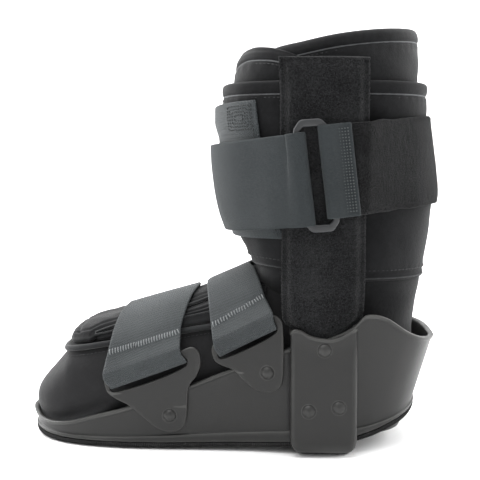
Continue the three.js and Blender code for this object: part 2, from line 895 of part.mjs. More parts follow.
// Convex outline round wrap and uprights at a height, as edges with a normal and a distance.
const legMiddle = 0.722 * bootLength;
const hullFacets = 61;
const hullMargin = 2;
function hullEdges(z) {
  const points = steps(-Math.PI, Math.PI, hullFacets).map((turn) => {
    const v = wrapOuter(turn, z, 0);
    return [v.x, v.y];
  });
  uprightLoop(z, 1).forEach((v) => points.push([v.x, v.y], [v.x, -v.y]));
  if (z > panelLow - hullMargin && z < panelTop) {
    const share = (z - panelLow) / (panelTop - panelLow);
    steps(0, 1, 10).forEach((across) => {
      const turn = mix(panelFar, mix(panelNearLow, panelNearTop, Math.max(share, 0)), across);
      const v = wrapOuter(turn, z, panelGap + panelSheet + 3 * gap);
      points.push([v.x, v.y]);
    });
  }
  points.sort((p, q) => p[0] - q[0] || p[1] - q[1]);
  const turnOf = (o, p, q) => (p[0] - o[0]) * (q[1] - o[1]) - (p[1] - o[1]) * (q[0] - o[0]);
  const chain = (list) => {
    const kept = [];
    list.forEach((p) => {
      while (kept.length > 1 && turnOf(kept[kept.length - 2], kept[kept.length - 1], p) <= 0) {
        kept.pop();
      }
      kept.push(p);
    });
    return kept.slice(0, -1);
  };
  const hull = [...chain(points), ...chain(points.slice().reverse())];
  return hull.map((p, k) => {
    const q = hull[(k + 1) % hull.length];
    const size = Math.hypot(q[0] - p[0], q[1] - p[1]);
    const nx = (q[1] - p[1]) / size;
    const ny = (p[0] - q[0]) / size;
    return { nx, ny, reach: nx * (p[0] - legMiddle) + ny * p[1] };
  });
}
const hullCache = new Map();
function hullAt(z) {
  const key = Math.round(z * 2) / 2;
  if (!hullCache.has(key)) hullCache.set(key, hullEdges(key));
  return hullCache.get(key);
}

// Point on a slanted strap: turn from the front towards the near side, distance out.
function strapPoint(turn, out, level) {
  const dx = -Math.cos(turn);
  const dy = -Math.sin(turn);
  let z = level(legMiddle);
  let reach = 0;
  for (let pass = 0; pass < 3; pass++) {
    reach = Math.min(
      ...hullAt(z)
        .filter((e) => e.nx * dx + e.ny * dy > 0.05)
        .map((e) => (e.reach + out) / (e.nx * dx + e.ny * dy)),
    );
    z = level(legMiddle + dx * reach);
  }
  return new THREE.Vector3(legMiddle + dx * reach, dy * reach, z);
}

// Turn at which a slanted strap passes a corner of an upright, 0 at its front edge, 3 at its back.
function cornerTurn(corner, level) {
  let z = level(legMiddle);
  let turn = 0;
  for (let pass = 0; pass < 3; pass++) {
    const v = uprightLoop(z, 1)[corner];
    turn = Math.atan2(-v.y, legMiddle - v.x);
    z = level(v.x);
  }
  return turn;
}

// Ring: slanted, its middle moves forward with height. The leg strap runs through its window.
const legStrapWidth = 49.4;
const ringMiddle = 0.7 * bootLength;
const ringMiddleUp = 0.638 * bootHeight;
const ringSlant = -0.121;
const ringWidth = 19.6;
const ringBar = 3.3;
const ringEndBar = 3.4;
const ringStrapRoom = 2.2;
const ringHeight = legStrapWidth + 2 * (ringStrapRoom + ringEndBar);
const ringThick = 2.6;
const ringCorner = 5;
const ringTilt = 0.07;
const ringRest = strapGap + webbing + strapGap;
function ringAt(z) {
  return ringMiddle + ringSlant * (z - ringMiddleUp);
}

// Point over the flat of the near upright, by its distance from the ring's middle.
function flatPoint(offset, out, level) {
  const x = ringMiddle + offset;
  const z = level(x);
  const y = -(uprightSide(z) + uprightHalf + out);
  return new THREE.Vector3(ringAt(z) + offset, y, z);
}

// Strap levels: v runs from 0 at the lower edge to 1 at the upper edge.
const frontMiddle = 0.6049 * bootHeight;
const frontLow = frontMiddle - legStrapWidth / 2;
const frontHigh = frontMiddle + legStrapWidth / 2;
const frontSlope = 0.115;
const rearMiddle = 0.6186 * bootHeight;
const rearLowEdge = rearMiddle - legStrapWidth / 2;
const rearHighEdge = rearMiddle + legStrapWidth / 2;
const rearSlope = 0.104;
const levelBase = 0.455 * bootLength;
function frontLevel(v) {
  return (x) => mix(frontLow, frontHigh, v) + frontSlope * (x - levelBase);
}
function rearLevel(v) {
  return (x) => mix(rearLowEdge, rearHighEdge, v) + rearSlope * (x - levelBase);
}

// Ribbon of even thickness along a path that is given for each level.
function ribbon(levels, pathOf, thick) {
  const rows = levels.map((v) => {
    const path = pathOf(v);
    const inner = [];
    const outer = [];
    path.forEach((here, k) => {
      const before = path[Math.max(k - 1, 0)];
      const after = path[Math.min(k + 1, path.length - 1)];
      const a = here.clone().sub(before).setZ(0);
      const b = after.clone().sub(here).setZ(0);
      if (k === 0) a.copy(b);
      if (k === path.length - 1) b.copy(a);
      a.normalize();
      b.normalize();
      const side = new THREE.Vector3(a.y + b.y, -a.x - b.x, 0).normalize();
      const mitre = thick / 2 / Math.max(0.75, side.x * a.y - side.y * a.x);
      inner.push(here.clone().addScaledVector(side, -mitre));
      outer.push(here.clone().addScaledVector(side, mitre));
    });
    return { inner, outer };
  });
  return sheet(rows, false);
}
const strapLevels = steps(0, 1, 4);

// Loop of a strap round one bar of the ring: side is -1 for the front bar, 1 for the rear one.
const loopRadius = (ringThick + webbing) / 2 + strapGap;
const loopLap = 0.6;
function barLoop(side, level, thick) {
  const low = strapGap + thick / 2;
  const high = low + 2 * loopRadius;
  const start = ringWidth / 2 - ringBar;
  return [
    flatPoint(side * start, low, level),
    flatPoint(side * (start - 0.75 * loopRadius), low + 0.3 * loopRadius, level),
    flatPoint(side * (start - loopRadius), low + loopRadius, level),
    flatPoint(side * (start - 0.75 * loopRadius), high - 0.3 * loopRadius, level),
    flatPoint(side * start, high, level),
    flatPoint(side * (ringWidth / 2 + loopLap), high, level),
  ];
}

const frontStart = rad(-92);
const settleAlong = 5;
const settleLift = 1.1;
function makeFrontStrap() {
  const low = strapGap + webbing / 2;
  const over = low + webbing + strapGap;
  return ribbon(
    strapLevels,
    (v) => {
      const level = frontLevel(v);
      const edge = cornerTurn(0, level);
      const flat = cornerTurn(1, level);
      const turns = [
        frontStart, -flat, -edge, ...steps(-edge, edge, 17).slice(1, -1), edge, flat,
      ];
      const run = turns.map((t) => strapPoint(t, low, level));
      const back = turns.slice(2).reverse().map((t) => strapPoint(t, over, level));
      const settle = flatPoint(-ringWidth / 2 - settleAlong, over + settleLift, level);
      return [...run, ...barLoop(-1, level, webbing), settle, ...back];
    },
    webbing,
  );
}

const rearRoom = 6.4;
const rearStart = ringWidth / 2 + rearRoom;
const rearEnd = rad(266);
function makeRearStrap() {
  const flatOut = strapGap + fleeceStrap / 2;
  const roundOut = rearStrapGap + fleeceStrap / 2;
  return ribbon(
    strapLevels,
    (v) => {
      const level = rearLevel(v);
      const first = flatPoint(rearStart, flatOut, level);
      const flat = cornerTurn(2, level);
      const edge = cornerTurn(3, level);
      const round = 2 * Math.PI;
      const behind = steps(edge, round - edge, 25).map((t) => strapPoint(t, roundOut, level));
      const ends = [round - flat, rearEnd].map((t) => strapPoint(t, flatOut, level));
      return [first, strapPoint(flat, flatOut, level), ...behind, ...ends];
    },
    fleeceStrap,
  );
}

const tabLap = 11.4;
const tabBend = 5;
const tabLanding = 8;
const tabLift = 0.8;
const tabTuck = 0.6;
function makeRingTab() {
  const low = strapGap + tabWebbing / 2;
  const over = strapGap + fleeceStrap + strapGap + tabWebbing / 2;
  return ribbon(
    strapLevels,
    (v) => {
      const level = rearLevel(v);
      return [
        flatPoint(rearStart - tabTuck, low, level),
        ...barLoop(1, level, tabWebbing),
        flatPoint(ringWidth / 2 + tabBend, over + tabLift, level),
        flatPoint(ringWidth / 2 + tabLanding, over, level),
        flatPoint(ringWidth / 2 + tabLap, over, level),
      ];
    },
    tabWebbing,
  );
}

function makeRing() {
  const w = ringWidth / 2;
  const h = ringHeight / 2;
  const c = ringCorner;
  const outer = [
    [-w, -h + c], [-w + c * 0.8, -h], [w - c * 0.8, -h], [w, -h + c],
    [w, h - c], [w - c * 0.8, h], [-w + c * 0.8, h], [-w, h - c],
  ];
  const iw = w - ringBar;
  const ih = h - ringEndBar;
  const shape = new THREE.Shape(outer.map(([x, y]) => new THREE.Vector2(x, y)));
  const window = [[-iw, -ih], [-iw, ih], [iw, ih], [iw, -ih]];
  shape.holes.push(new THREE.Path(window.map(([x, y]) => new THREE.Vector2(x, y))));
  const ring = new THREE.ExtrudeGeometry(shape, { depth: ringThick, bevelEnabled: false });
  return bent(ring, (p) => {
    const z = ringMiddleUp + p.y;
    const out = uprightSide(z) + uprightHalf + ringRest + p.z;
    return new THREE.Vector3(ringAt(z) + p.x, -out, z + ringTilt * p.x);
  });
}

// Moves each point of a flat plate to its place on the boot.
function bent(geometry, place) {
  const points = geometry.getAttribute('position');
  for (let k = 0; k < points.count; k++) {
    const to = place(new THREE.Vector3().fromBufferAttribute(points, k));
    points.setXYZ(k, to.x, to.y, to.z);
  }
  return outward(geometry);
}

// Foot flaps: from the edge of the toe box up and over the foot.
const bindLine = { along: 0.1 * bootLength, up: 0.2134 * bootHeight, climb: 0.19 };
const bindRadius = 1.7;
function bindUp(x) {
  return bindLine.up + bindLine.climb * (x - bindLine.along);
}

// Turn at which the foot reaches a height on the near side, zero where it stays lower.
function turnAt(x, z) {
  const b = (footHigh(x) - footLow(x)) / 2;
  const share = (z - footHigh(x) + b) / b;
  if (share >= 1) return 0;
  return Math.acos(Math.max(share, -1) ** (roundA / 2));
}
const flapGap = 0.9;
const flapFront = 0.109 * bootLength;
const flapBack = 0.562 * bootLength;
const nearFlapFront = 0.168 * bootLength;
const flapLift = 2 * bindRadius - 0.4;
const edgeUp = curve(flapEdge, 'along', 'up');
function flapSheet(places, rangeOf, columnsAcross) {
  const rows = places.map((x) => {
    const [from, to] = rangeOf(x);
    const turns = steps(from, to, columnsAcross);
    const thick = (k) => footFlap * (k === 0 || k === columnsAcross - 1 ? 0.6 : 1);
    return {
      inner: turns.map((t) => footPoint(t, x, flapGap)),
      outer: turns.map((t, k) => footPoint(t, x, flapGap + thick(k))),
    };
  });
  return sheet(rows, false);
}
function makeFarFlap() {
  const places = [
    ...steps(flapFront, nearFlapFront, 5),
    ...steps(nearFlapFront + 4, flapBack, 8),
  ];
  return flapSheet(
    places,
    (x) => {
      const far = -turnAt(x, bindUp(x) + flapLift);
      const near = x <= nearFlapFront ? -far : turnAt(x, edgeUp(x) + gap);
      return [near, far];
    },
    11,
  );
}
function makeNearFlap() {
  return flapSheet(
    steps(nearFlapFront + 5, flapBack, 9),
    (x) => [turnAt(x, bindUp(x) + flapLift), turnAt(x, edgeUp(x) - 3 * gap)],
    4,
  );
}

// Binding: a roll along the edge of the toe box.
const bindFacets = 7;
const bindBack = 0.235 * bootLength;
function makeBinding() {
  const stations = [0.1, 0.103, 0.109, 0.12, 0.14, 0.17, 0.2, bindBack / bootLength];
  const near = stations.map((s) => s * bootLength).map((x) => {
    return footPoint(turnAt(x, bindUp(x)), x, gap + bindRadius);
  });
  const path = [...near.slice().reverse(), ...near.slice(1).map((v) => v.clone().setY(-v.y))];
  const line = new THREE.CatmullRomCurve3(path);
  const loops = steps(0, 1, 26).map((t) => {
    const here = line.getPoint(t);
    const way = line.getTangent(t);
    const up = new THREE.Vector3(0, 0, 1);
    const side = way.clone().cross(up).normalize();
    const top = side.clone().cross(way).normalize();
    return Array.from({ length: bindFacets }, (_, k) => {
      const angle = (2 * Math.PI * k) / bindFacets;
      return here.clone()
        .addScaledVector(side, bindRadius * Math.cos(angle))
        .addScaledVector(top, bindRadius * Math.sin(angle));
    });
  });
  return loft(loops);
}

// Brackets: flat plates bent to the shell wall, each with a slot for its strap.
const bendStep = 12;
function makeBracket(outer, slot, rivet) {
  const path = (rows) => rows.flatMap((r, k) => {
    const from = new THREE.Vector2(r.along, r.up);
    const next = rows[(k + 1) % rows.length];
    const to = new THREE.Vector2(next.along, next.up);
    const pieces = Math.ceil(from.distanceTo(to) / bendStep);
    return steps(0, 1, pieces + 1).slice(0, -1).map((t) => from.clone().lerp(to, t));
  });
  const shape = new THREE.Shape(path(outer));
  shape.holes.push(new THREE.Path(path(slot)));
  const hole = new THREE.Path();
  hole.absarc(rivet.along, rivet.up, rivetShank + gap, 0, 2 * Math.PI);
  shape.holes.push(hole);
  const settings = { depth: bracketPlate, bevelEnabled: false, curveSegments: holeFacets };
  const plate = new THREE.ExtrudeGeometry(shape, settings);
  return bent(plate, (p) => new THREE.Vector3(p.x, -(wallAt(p.x, p.y) + gap + p.z), p.y));
}

// Rivet: domed head outside, shank through the plates behind it.
function makeRivet(place, face, depth) {
  const r = rivetHead;
  const profile = [
    [0, -depth], [rivetShank, -depth], [rivetShank, gap], [r, gap],
    [r, gap + 0.35 * rivetRise], [0.7 * r, gap + 0.85 * rivetRise], [0, gap + rivetRise],
  ].map(([x, y]) => new THREE.Vector2(x, y));
  return outward(
    new THREE.LatheGeometry(profile, rivetFacets)
      .rotateX(Math.PI)
      .translate(place.along, -face, place.up),
  );
}

// Foot straps: sewn round the near bar, over the foot, through the far slot and back on themselves.
const tuckUp = 7.5;
const strapEnd = rad(-32);
const slotRoom = 0.45;

// Place in a slot, under its upper edge: v runs from 0 at its front end to 1 at its rear end.
function slotPlace(slot, v) {
  const [, , rear, front] = slot;
  const climb = (rear.up - front.up) / (rear.along - front.along);
  const along = mix(front.along + slotRoom, rear.along - slotRoom, v);
  return { along, up: front.up + climb * (along - front.along) };
}
function makeFootStrap(spec) {
  const half = webbing / 2;
  const over = flapGap + footFlap + strapGap + half;
  return ribbonAcross(
    steps(0, 1, 3),
    (v) => {
      const { along: xs, up: zs } = slotPlace(spec.slot, v);
      const xt = mix(spec.topAlong[0], spec.topAlong[1], v);
      const xm = mix(spec.sideAlong[0], spec.sideAlong[1], v);
      const inside = (z) => wallAt(xs, z) - strapGap - gap - half;
      const outside = (z) => wallAt(xs, z) + gap + bracketPlate + strapGap + gap + half;
      const middle = (inside(zs) + outside(zs)) / 2;
      const fold = [
        [inside(zs), zs - 0.1], [inside(zs) + 1, zs - 1.15], [middle, zs - 1.5],
        [outside(zs) - 1, zs - 1.15], [outside(zs), zs - 0.1],
      ];
      const bar = spec.barUp;
      const near = [
        [inside(zs + tuckUp), zs + tuckUp],
        ...fold,
        [outside(zs + bar), zs + bar],
      ].map(([a, z]) => new THREE.Vector3(xs, -a, z));
      const placed = (turn, out) => {
        const share = Math.abs(turn) / spec.shoulder;
        const x = mix(xt, xm, share);
        return footPoint(turn, x, out);
      };
      const top = steps(spec.shoulder, -spec.shoulder, 11).map((turn) => placed(turn, over));
      const far = [
        [inside(zs + bar), zs + bar],
        ...fold,
        [outside(zs + bar), zs + bar],
      ].map(([a, z]) => new THREE.Vector3(xs, a, z));
      const again = steps(-spec.shoulder, strapEnd, 6)
        .map((turn) => placed(turn, over + webbing + strapGap));
      return [...near, ...top, ...far, ...again];
    },
    webbing,
  );
}

// Ribbon whose path lies across the boot, thick in that plane.
function ribbonAcross(levels, pathOf, thick) {
  const rows = levels.map((v) => {
    const path = pathOf(v);
    const inner = [];
    const outer = [];
    path.forEach((here, k) => {
      const before = path[Math.max(k - 1, 0)];
      const after = path[Math.min(k + 1, path.length - 1)];
      const a = here.clone().sub(before).setX(0);
      const b = after.clone().sub(here).setX(0);
      if (k === 0) a.copy(b);
      if (k === path.length - 1) b.copy(a);
      a.normalize();
      b.normalize();
      const side = new THREE.Vector3(0, a.z + b.z, -a.y - b.y).normalize();
      const mitre = thick / 2 / Math.max(0.75, side.y * a.z - side.z * a.y);
      inner.push(here.clone().addScaledVector(side, -mitre));
      outer.push(here.clone().addScaledVector(side, mitre));
    });
    return { inner, outer };
  });
  return sheet(rows, false);
}
const forefootSpec = {
  slot: forefootSlot,
  sideAlong: [0.215 * bootLength, 0.391 * bootLength],
  topAlong: [0.25 * bootLength, 0.4275 * bootLength],
  shoulder: rad(56),
  barUp: 0.0275 * bootHeight,
};
const instepSpec = {
  slot: instepSlot,
  sideAlong: [0.4595 * bootLength, 0.6 * bootLength],
  topAlong: [0.4425 * bootLength, 0.553 * bootLength],
  shoulder: rad(52),
  barUp: 0.0295 * bootHeight,
};

const boot = new THREE.Group();
const looks = {
  rubber: new THREE.MeshStandardMaterial({ color: 0x1c1d1e, roughness: 0.85, metalness: 0 }),
  shell: new THREE.MeshStandardMaterial({ color: 0x3a3a39, roughness: 0.42, metalness: 0 }),
  fabric: new THREE.MeshStandardMaterial({ color: 0x232527, roughness: 0.9, metalness: 0 }),
  fleece: new THREE.MeshStandardMaterial({ color: 0x2d3033, roughness: 1, metalness: 0 }),
  webbing: new THREE.MeshStandardMaterial({ color: 0x4a5054, roughness: 0.75, metalness: 0 }),
};
function add(name, geometry, look) {
  const item = new THREE.Mesh(geometry, looks[look].clone());
  item.name = name;
  boot.add(item);
  return item;
}

// A piece on the near side and its mirror image on the far side.
function addPair(name, geometry, look) {
  add(`${name}_near`, geometry, look);
  add(`${name}_far`, geometry, look).scale.y = -1;
}

add('outsole', makeOutsole(), 'rubber');
add('shell', makeShell(), 'shell');
add('liner', makeLiner(), 'fabric');
add('toe_binding', makeBinding(), 'fabric');
add('foot_flap_far', makeFarFlap(), 'fabric');
add('foot_flap_near', makeNearFlap(), 'fabric');
add('front_flap', makeFrontFlap(), 'fabric');
add('calf_wrap', makeCalfWrap(), 'fabric');
add('closure_panel', makeClosurePanel(), 'webbing');
addPair('upright', makeUpright(), 'fleece');
add('leg_strap_front', makeFrontStrap(), 'webbing');
add('leg_strap_rear', makeRearStrap(), 'fleece');
add('ring_tab', makeRingTab(), 'webbing');
add('ring', makeRing(), 'shell');
addPair('forefoot_bracket', makeBracket(forefootBracket, forefootSlot, forefootRivet), 'shell');
addPair('instep_bracket', makeBracket(instepBracket, instepSlot, instepRivet), 'shell');
add('forefoot_strap', makeFootStrap(forefootSpec), 'webbing');
add('instep_strap', makeFootStrap(instepSpec), 'webbing');
pocketRivets.forEach((place) => {
  const depth = halfWidth - uprightSide(place.up) - uprightHalf - gap;
  addPair(`rivet_pocket_${place.name}`, makeRivet(place, halfWidth, depth), 'shell');
});
[['forefoot', forefootRivet], ['instep', instepRivet]].forEach(([name, place]) => {
  const across = [-rivetHead, 0, rivetHead].map((dx) => wallAt(place.along + dx, place.up));
  const face = Math.max(...across) + gap + bracketPlate;
  addPair(`rivet_${name}`, makeRivet(place, face, gap + bracketPlate + shellWall), 'shell');
});

// The origin is the middle of the boot's box, on the floor.
const box = new THREE.Box3().setFromObject(boot);
const middle = box.getCenter(new THREE.Vector3());
boot.position.set(-middle.x, -middle.y, -box.min.z);
const group = new THREE.Group();
group.add(boot);

export default group;
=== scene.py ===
# Looks of the short medical walking boot. Lengths are millimetres in the part's own frame:
# x from the toe tip to the heel, y across with the ring at -y, z up. Meshes are made in metres.
import math
import bpy
import bmesh
import numpy as np
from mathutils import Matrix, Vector


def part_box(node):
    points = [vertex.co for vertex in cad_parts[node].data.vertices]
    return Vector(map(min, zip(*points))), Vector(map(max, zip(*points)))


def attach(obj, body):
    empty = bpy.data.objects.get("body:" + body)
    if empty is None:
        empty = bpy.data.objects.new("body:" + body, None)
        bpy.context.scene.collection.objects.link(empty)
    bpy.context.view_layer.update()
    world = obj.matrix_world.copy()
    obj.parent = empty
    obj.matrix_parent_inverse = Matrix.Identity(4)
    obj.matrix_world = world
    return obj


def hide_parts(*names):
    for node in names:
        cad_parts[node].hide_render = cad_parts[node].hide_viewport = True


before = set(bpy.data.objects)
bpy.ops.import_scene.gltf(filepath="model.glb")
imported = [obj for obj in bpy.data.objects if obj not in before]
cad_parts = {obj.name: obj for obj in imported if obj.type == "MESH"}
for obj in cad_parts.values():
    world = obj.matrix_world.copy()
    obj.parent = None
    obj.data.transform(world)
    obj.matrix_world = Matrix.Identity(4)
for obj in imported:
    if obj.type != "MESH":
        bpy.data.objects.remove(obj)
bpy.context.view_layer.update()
PI = math.pi
UP = np.array([0, 0, 1.0])
SPLINE_STEPS = 24
EDGE_ARC = np.radians([45, 0, -45])
OVAL_LONG, OVAL_CROSS = 2.2, 2.8


def table(rows):
    return np.array(rows, float)


# OUTLINE: x, half width. RIM, HEEL_RIM, POCKET_RIM, SOLE, WELT, brackets, slots and FLAP_EDGE: x, z.
# LEG: z, front, back, half width. FOOT: x, half width, low, high. SLEEVE: z, front, back.
# WRAP_FRONT and WRAP_BACK: z, x.
OUTLINE = table([
    (3.82, 0), (4.99, 10.08), (9.12, 19.63), (16.02, 28.12), (26.63, 35.55), (41.48, 40.86), (60.58, 44.04),
    (83.91, 45.21), (105.13, 45.42), (126.35, 46.27), (142.26, 47.76), (154.99, 49.45), (168.78, 49.67),
    (182.58, 48.61), (194.25, 45.85), (201.67, 42.77), (209.1, 38.21), (215.46, 32.05), (220.34, 23.56),
    (223.1, 13.27), (223.95, 0),
])
RIM = table([
    (-3.08, 16.54), (0, 16.12), (4.35, 13.36), (9.12, 11.88), (16.02, 11.66), (23.45, 12.51), (30.87, 14.21),
    (41.48, 17.6), (63.76, 24.18), (100.89, 37.96), (124.23, 47.5), (156.48, 60.02),
])
POCKET_RIM = table([
    (156.6, 70.3), (159.2, 72.3), (162.7, 71.7), (167.6, 69), (173.3, 67.5), (179.1, 67), (184.7, 68.4),
    (189, 71), (193.4, 73.5), (194.7, 74.1),
])
HEEL_RIM = table([
    (157.5, 60.2), (194.6, 75.6), (195.9, 79.4), (198.9, 80.7), (204, 80.6), (210.4, 78.8), (216.4, 74.9),
    (222.9, 70.2), (229.8, 66.6), (234.6, 65.1), (239.9, 64.2), (245.2, 63.9),
])
SOLE = table([
    (-3, 3.4), (3.8, 1.7), (9.7, 0.74), (17.1, 0.2), (25.6, 0), (75, 0.2), (121, 1.4), (146, 2.3), (166, 3.4),
    (178, 4.2), (190, 5.4), (198, 7.2), (206, 9.4), (213, 12), (220, 14.4), (225, 16.6), (232, 21),
])
WELT = table([
    (-3.08, 7.42), (3.82, 6.36), (9.65, 5.94), (17.08, 5.62), (25.57, 5.51), (47.1, 5.94), (76.7, 7.32),
    (113.51, 9.54), (155.84, 12.41), (196.37, 14.63), (207.19, 16.54), (216.21, 18.87), (223.84, 21.21),
    (232.44, 25.45),
])
LEG = table([
    (15.69, 154.99, 221.3, 32.9), (21.21, 152.34, 224.59, 37.14), (33.93, 148.63, 227.13, 40.54),
    (55.14, 145.45, 228.94, 41.5), (76.34, 143.96, 230.95, 42.03), (101.79, 140.99, 233.5, 43.51),
    (116.64, 137.7, 233.5, 44.15), (135.72, 132.29, 234.77, 45.1), (150.57, 129.43, 234.98, 45.95),
    (169.66, 127.83, 232.97, 47.12), (198.28, 127.73, 230.74, 48.61), (214.19, 128.68, 231.27, 49.35),
    (252.36, 132.18, 229.47, 49.77),
])
FOOT = table([
    (3.29, 6.9, 17.5, 26.3), (4.35, 14.33, 14.42, 28.84), (7.96, 22.29, 11.24, 34.14),
    (16.02, 30.35, 9.12, 43.05), (23.98, 35.02, 8.59, 52.17), (27.16, 36.3, 8.59, 57.26),
    (31.93, 37.57, 8.69, 61.08), (38.3, 38.74, 8.91, 64.26), (47.85, 39.69, 9.12, 66.91),
    (60.58, 40.22, 9.44, 70.19), (83.91, 40.22, 10.18, 76.66), (105.13, 40.22, 10.92, 83.13),
    (126.35, 40.33, 11.66, 91.83), (138.02, 40.75, 12.09, 97.13), (148.63, 41.39, 12.51, 100.2),
    (174.09, 41.39, 13.36, 91.19),
])
SLEEVE = table([
    (21.21, 160.93, 190.85), (70.30, 160.72, 190.64), (72.74, 156.69, 191.70), (74.75, 153.30, 194.78),
    (77.41, 152.55, 197.32), (82.71, 152.34, 197.96), (100.20, 152.23, 198.28), (129.36, 151.49, 198.49),
    (182.38, 151.49, 199.13), (216.31, 150.22, 199.55), (221.19, 150.01, 199.55),
])
WRAP_FRONT = table([
    (101.79, 136.53), (107.09, 133.35), (111.34, 130.81), (116.64, 128.47), (125.12, 124.86),
    (135.72, 121.47), (148.45, 119.03), (165.41, 117.33), (182.38, 116.8), (198.28, 116.91), (211.01, 116.91),
])
WRAP_BACK = table([
    (99.67, 236.04), (107.09, 237.32), (116.64, 238.48), (132.54, 240.29), (146.33, 241.35), (159.05, 240.07),
    (174.96, 237.95), (190.86, 236.47), (201.47, 236.57), (211.01, 237.1),
])
FOREFOOT_BRACKET = table([
    (51.03, 38.81), (51.66, 35.42), (53.15, 32.23), (57.92, 28.95), (64.5, 25.66), (73.31, 18.66),
    (80.2, 13.15), (85.51, 10.92), (91.34, 10.82), (96.22, 13.36), (98.02, 18.03), (99.93, 37.32),
    (104.07, 43.37), (106.3, 49.73), (105.87, 55.77), (103.86, 58.74), (100.89, 59.8), (95.9, 58),
    (52.51, 41.99),
])
FOREFOOT_SLOT = table([
    (55.48, 33.29), (98.55, 49.73), (98.13, 52.91), (54.63, 36.69), (54.21, 34.99),
])
INSTEP_BRACKET = table([
    (112.77, 59.17), (113.19, 55.56), (114.79, 51.96), (118.92, 49.41), (124.65, 47.29), (131.65, 40.51),
    (136.75, 36.48), (141.73, 34.89), (147.57, 35.31), (151.81, 38.38), (153.08, 43.47), (153.08, 71.04),
    (152.23, 75.71), (149.9, 78.25), (146.72, 78.89), (114.47, 62.14),
])
INSTEP_SLOT = table([
    (118.07, 53.65), (149.48, 69.98), (148.84, 73.16), (116.8, 56.62), (116.38, 54.93),
])
FLAP_EDGE = table([
    (40.42, 57.68), (43.6, 59.8), (47.85, 61.5), (54.21, 63.62), (73.31, 68.92), (105.13, 78.47),
    (126.35, 87.48), (139.08, 92.25),
])

BOOT_L = 244.0
BOOT_H = 246.0
HALF_W = 58.9
GAP = 0.3
STRAP_GAP = 0.5
SHELL_WALL = 2.6
LINER_WALL = 5.0
FOOT_FLAP = 4.7
LEG_FLAP = 4.5
LEG_FLAP_EDGE = 1.5
WRAP_SIDE = 3.2
PANEL = 1.7
WEBBING = 1.7
FLEECE = 2.2
TAB = 1.5
PLATE = 2.4

# Place of the part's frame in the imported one.
_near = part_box("upright_near")
_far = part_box("upright_far")
MID_Y = -(_near[0].y + _far[1].y) * 500
MID_X = INSTEP_BRACKET[:, 0].min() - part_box("instep_bracket_near")[0].x * 1000


# ---------------------------------------------------------------- numbers and curves
def unit(v):
    return v / np.maximum(np.linalg.norm(v, axis=-1, keepdims=True), 1e-9)


def ease(v, low, high):
    t = np.clip((np.asarray(v, float) - low) / (high - low), 0, 1)
    return t * t * (3 - 2 * t)


def mix(a, b, t):
    return a + (b - a) * t


def swell(d, height, at, wide):
    """Smooth hump along a distance d, or a groove where its height is negative."""
    return height * np.exp(-((d - at) / wide) ** 2)


def curve(x, y):
    x = np.asarray(x, float)
    y = np.asarray(y, float)
    h = np.diff(x)
    d = np.diff(y) / h
    m = np.zeros_like(y)
    m[0], m[-1] = d[0], d[-1]
    same = d[:-1] * d[1:] > 0
    m[1:-1] = np.where(same, 2 * d[:-1] * d[1:] / np.where(same, d[:-1] + d[1:], 1), 0)

    def at(v):
        v = np.clip(np.asarray(v, float), x[0], x[-1])
        k = np.clip(np.searchsorted(x, v, side="right") - 1, 0, len(x) - 2)
        w = h[k]
        t = (v - x[k]) / w
        a = (1 + 2 * t) * (1 - t) ** 2
        b = t * (1 - t) ** 2
        c = t * t * (3 - 2 * t)
        e = t * t * (t - 1)
        return a * y[k] + b * w * m[k] + c * y[k + 1] + e * w * m[k + 1]

    return at


def ripple(p, amp, wave, seed, n=7):
    """Smooth irregular height at each point, from a few fixed plane waves."""
    rng = np.random.default_rng(seed)
    out = np.zeros(p.shape[:-1])
    for _ in range(n):
        way = unit(rng.normal(size=3))
        out += np.sin(2 * PI * (p @ way) / (wave * rng.uniform(0.7, 1.5)) + rng.uniform(0, 2 * PI))
    return amp * out / math.sqrt(n)


def spline(points, count, closed=False):
    """Even points along a centripetal curve through the given ones."""
    p = np.asarray(points, float)
    if closed:
        p = np.vstack([p[-1], p, p[0], p[1]])
    else:
        p = np.vstack([2 * p[0] - p[1], p, 2 * p[-1] - p[-2]])
    dense = []
    for k in range(1, len(p) - 2):
        q = p[k - 1:k + 3]
        gaps = np.maximum(np.linalg.norm(np.diff(q, axis=0), axis=1), 1e-6) ** 0.5
        s = np.concatenate([[0], np.cumsum(gaps)])
        t = np.linspace(s[1], s[2], SPLINE_STEPS, endpoint=False)[:, None]

        def between(a, b, i, j):
            return (s[j] - t) / (s[j] - s[i]) * a + (t - s[i]) / (s[j] - s[i]) * b

        a1, a2, a3 = (between(q[i], q[i + 1], i, i + 1) for i in range(3))
        b1, b2 = between(a1, a2, 0, 2), between(a2, a3, 1, 3)
        dense.append(between(b1, b2, 1, 2))
    dense.append(p[-2][None])
    return resample(np.vstack(dense), count, closed)


def resample(p, count, closed=False):
    step = np.linalg.norm(np.diff(p, axis=0), axis=1)
    s = np.concatenate([[0], np.cumsum(step)])
    at = np.linspace(0, s[-1], count + 1)[:-1] if closed else np.linspace(0, s[-1], count)
    return np.stack([np.interp(at, s, p[:, k]) for k in range(p.shape[1])], axis=1)


def length_of(p):
    return float(np.linalg.norm(np.diff(p, axis=0), axis=1).sum())


# ---------------------------------------------------------------- meshes
def place(p):
    """Part millimetres to packed metres."""
    return (np.asarray(p, float) - np.array([MID_X, MID_Y, 0])) / 1000


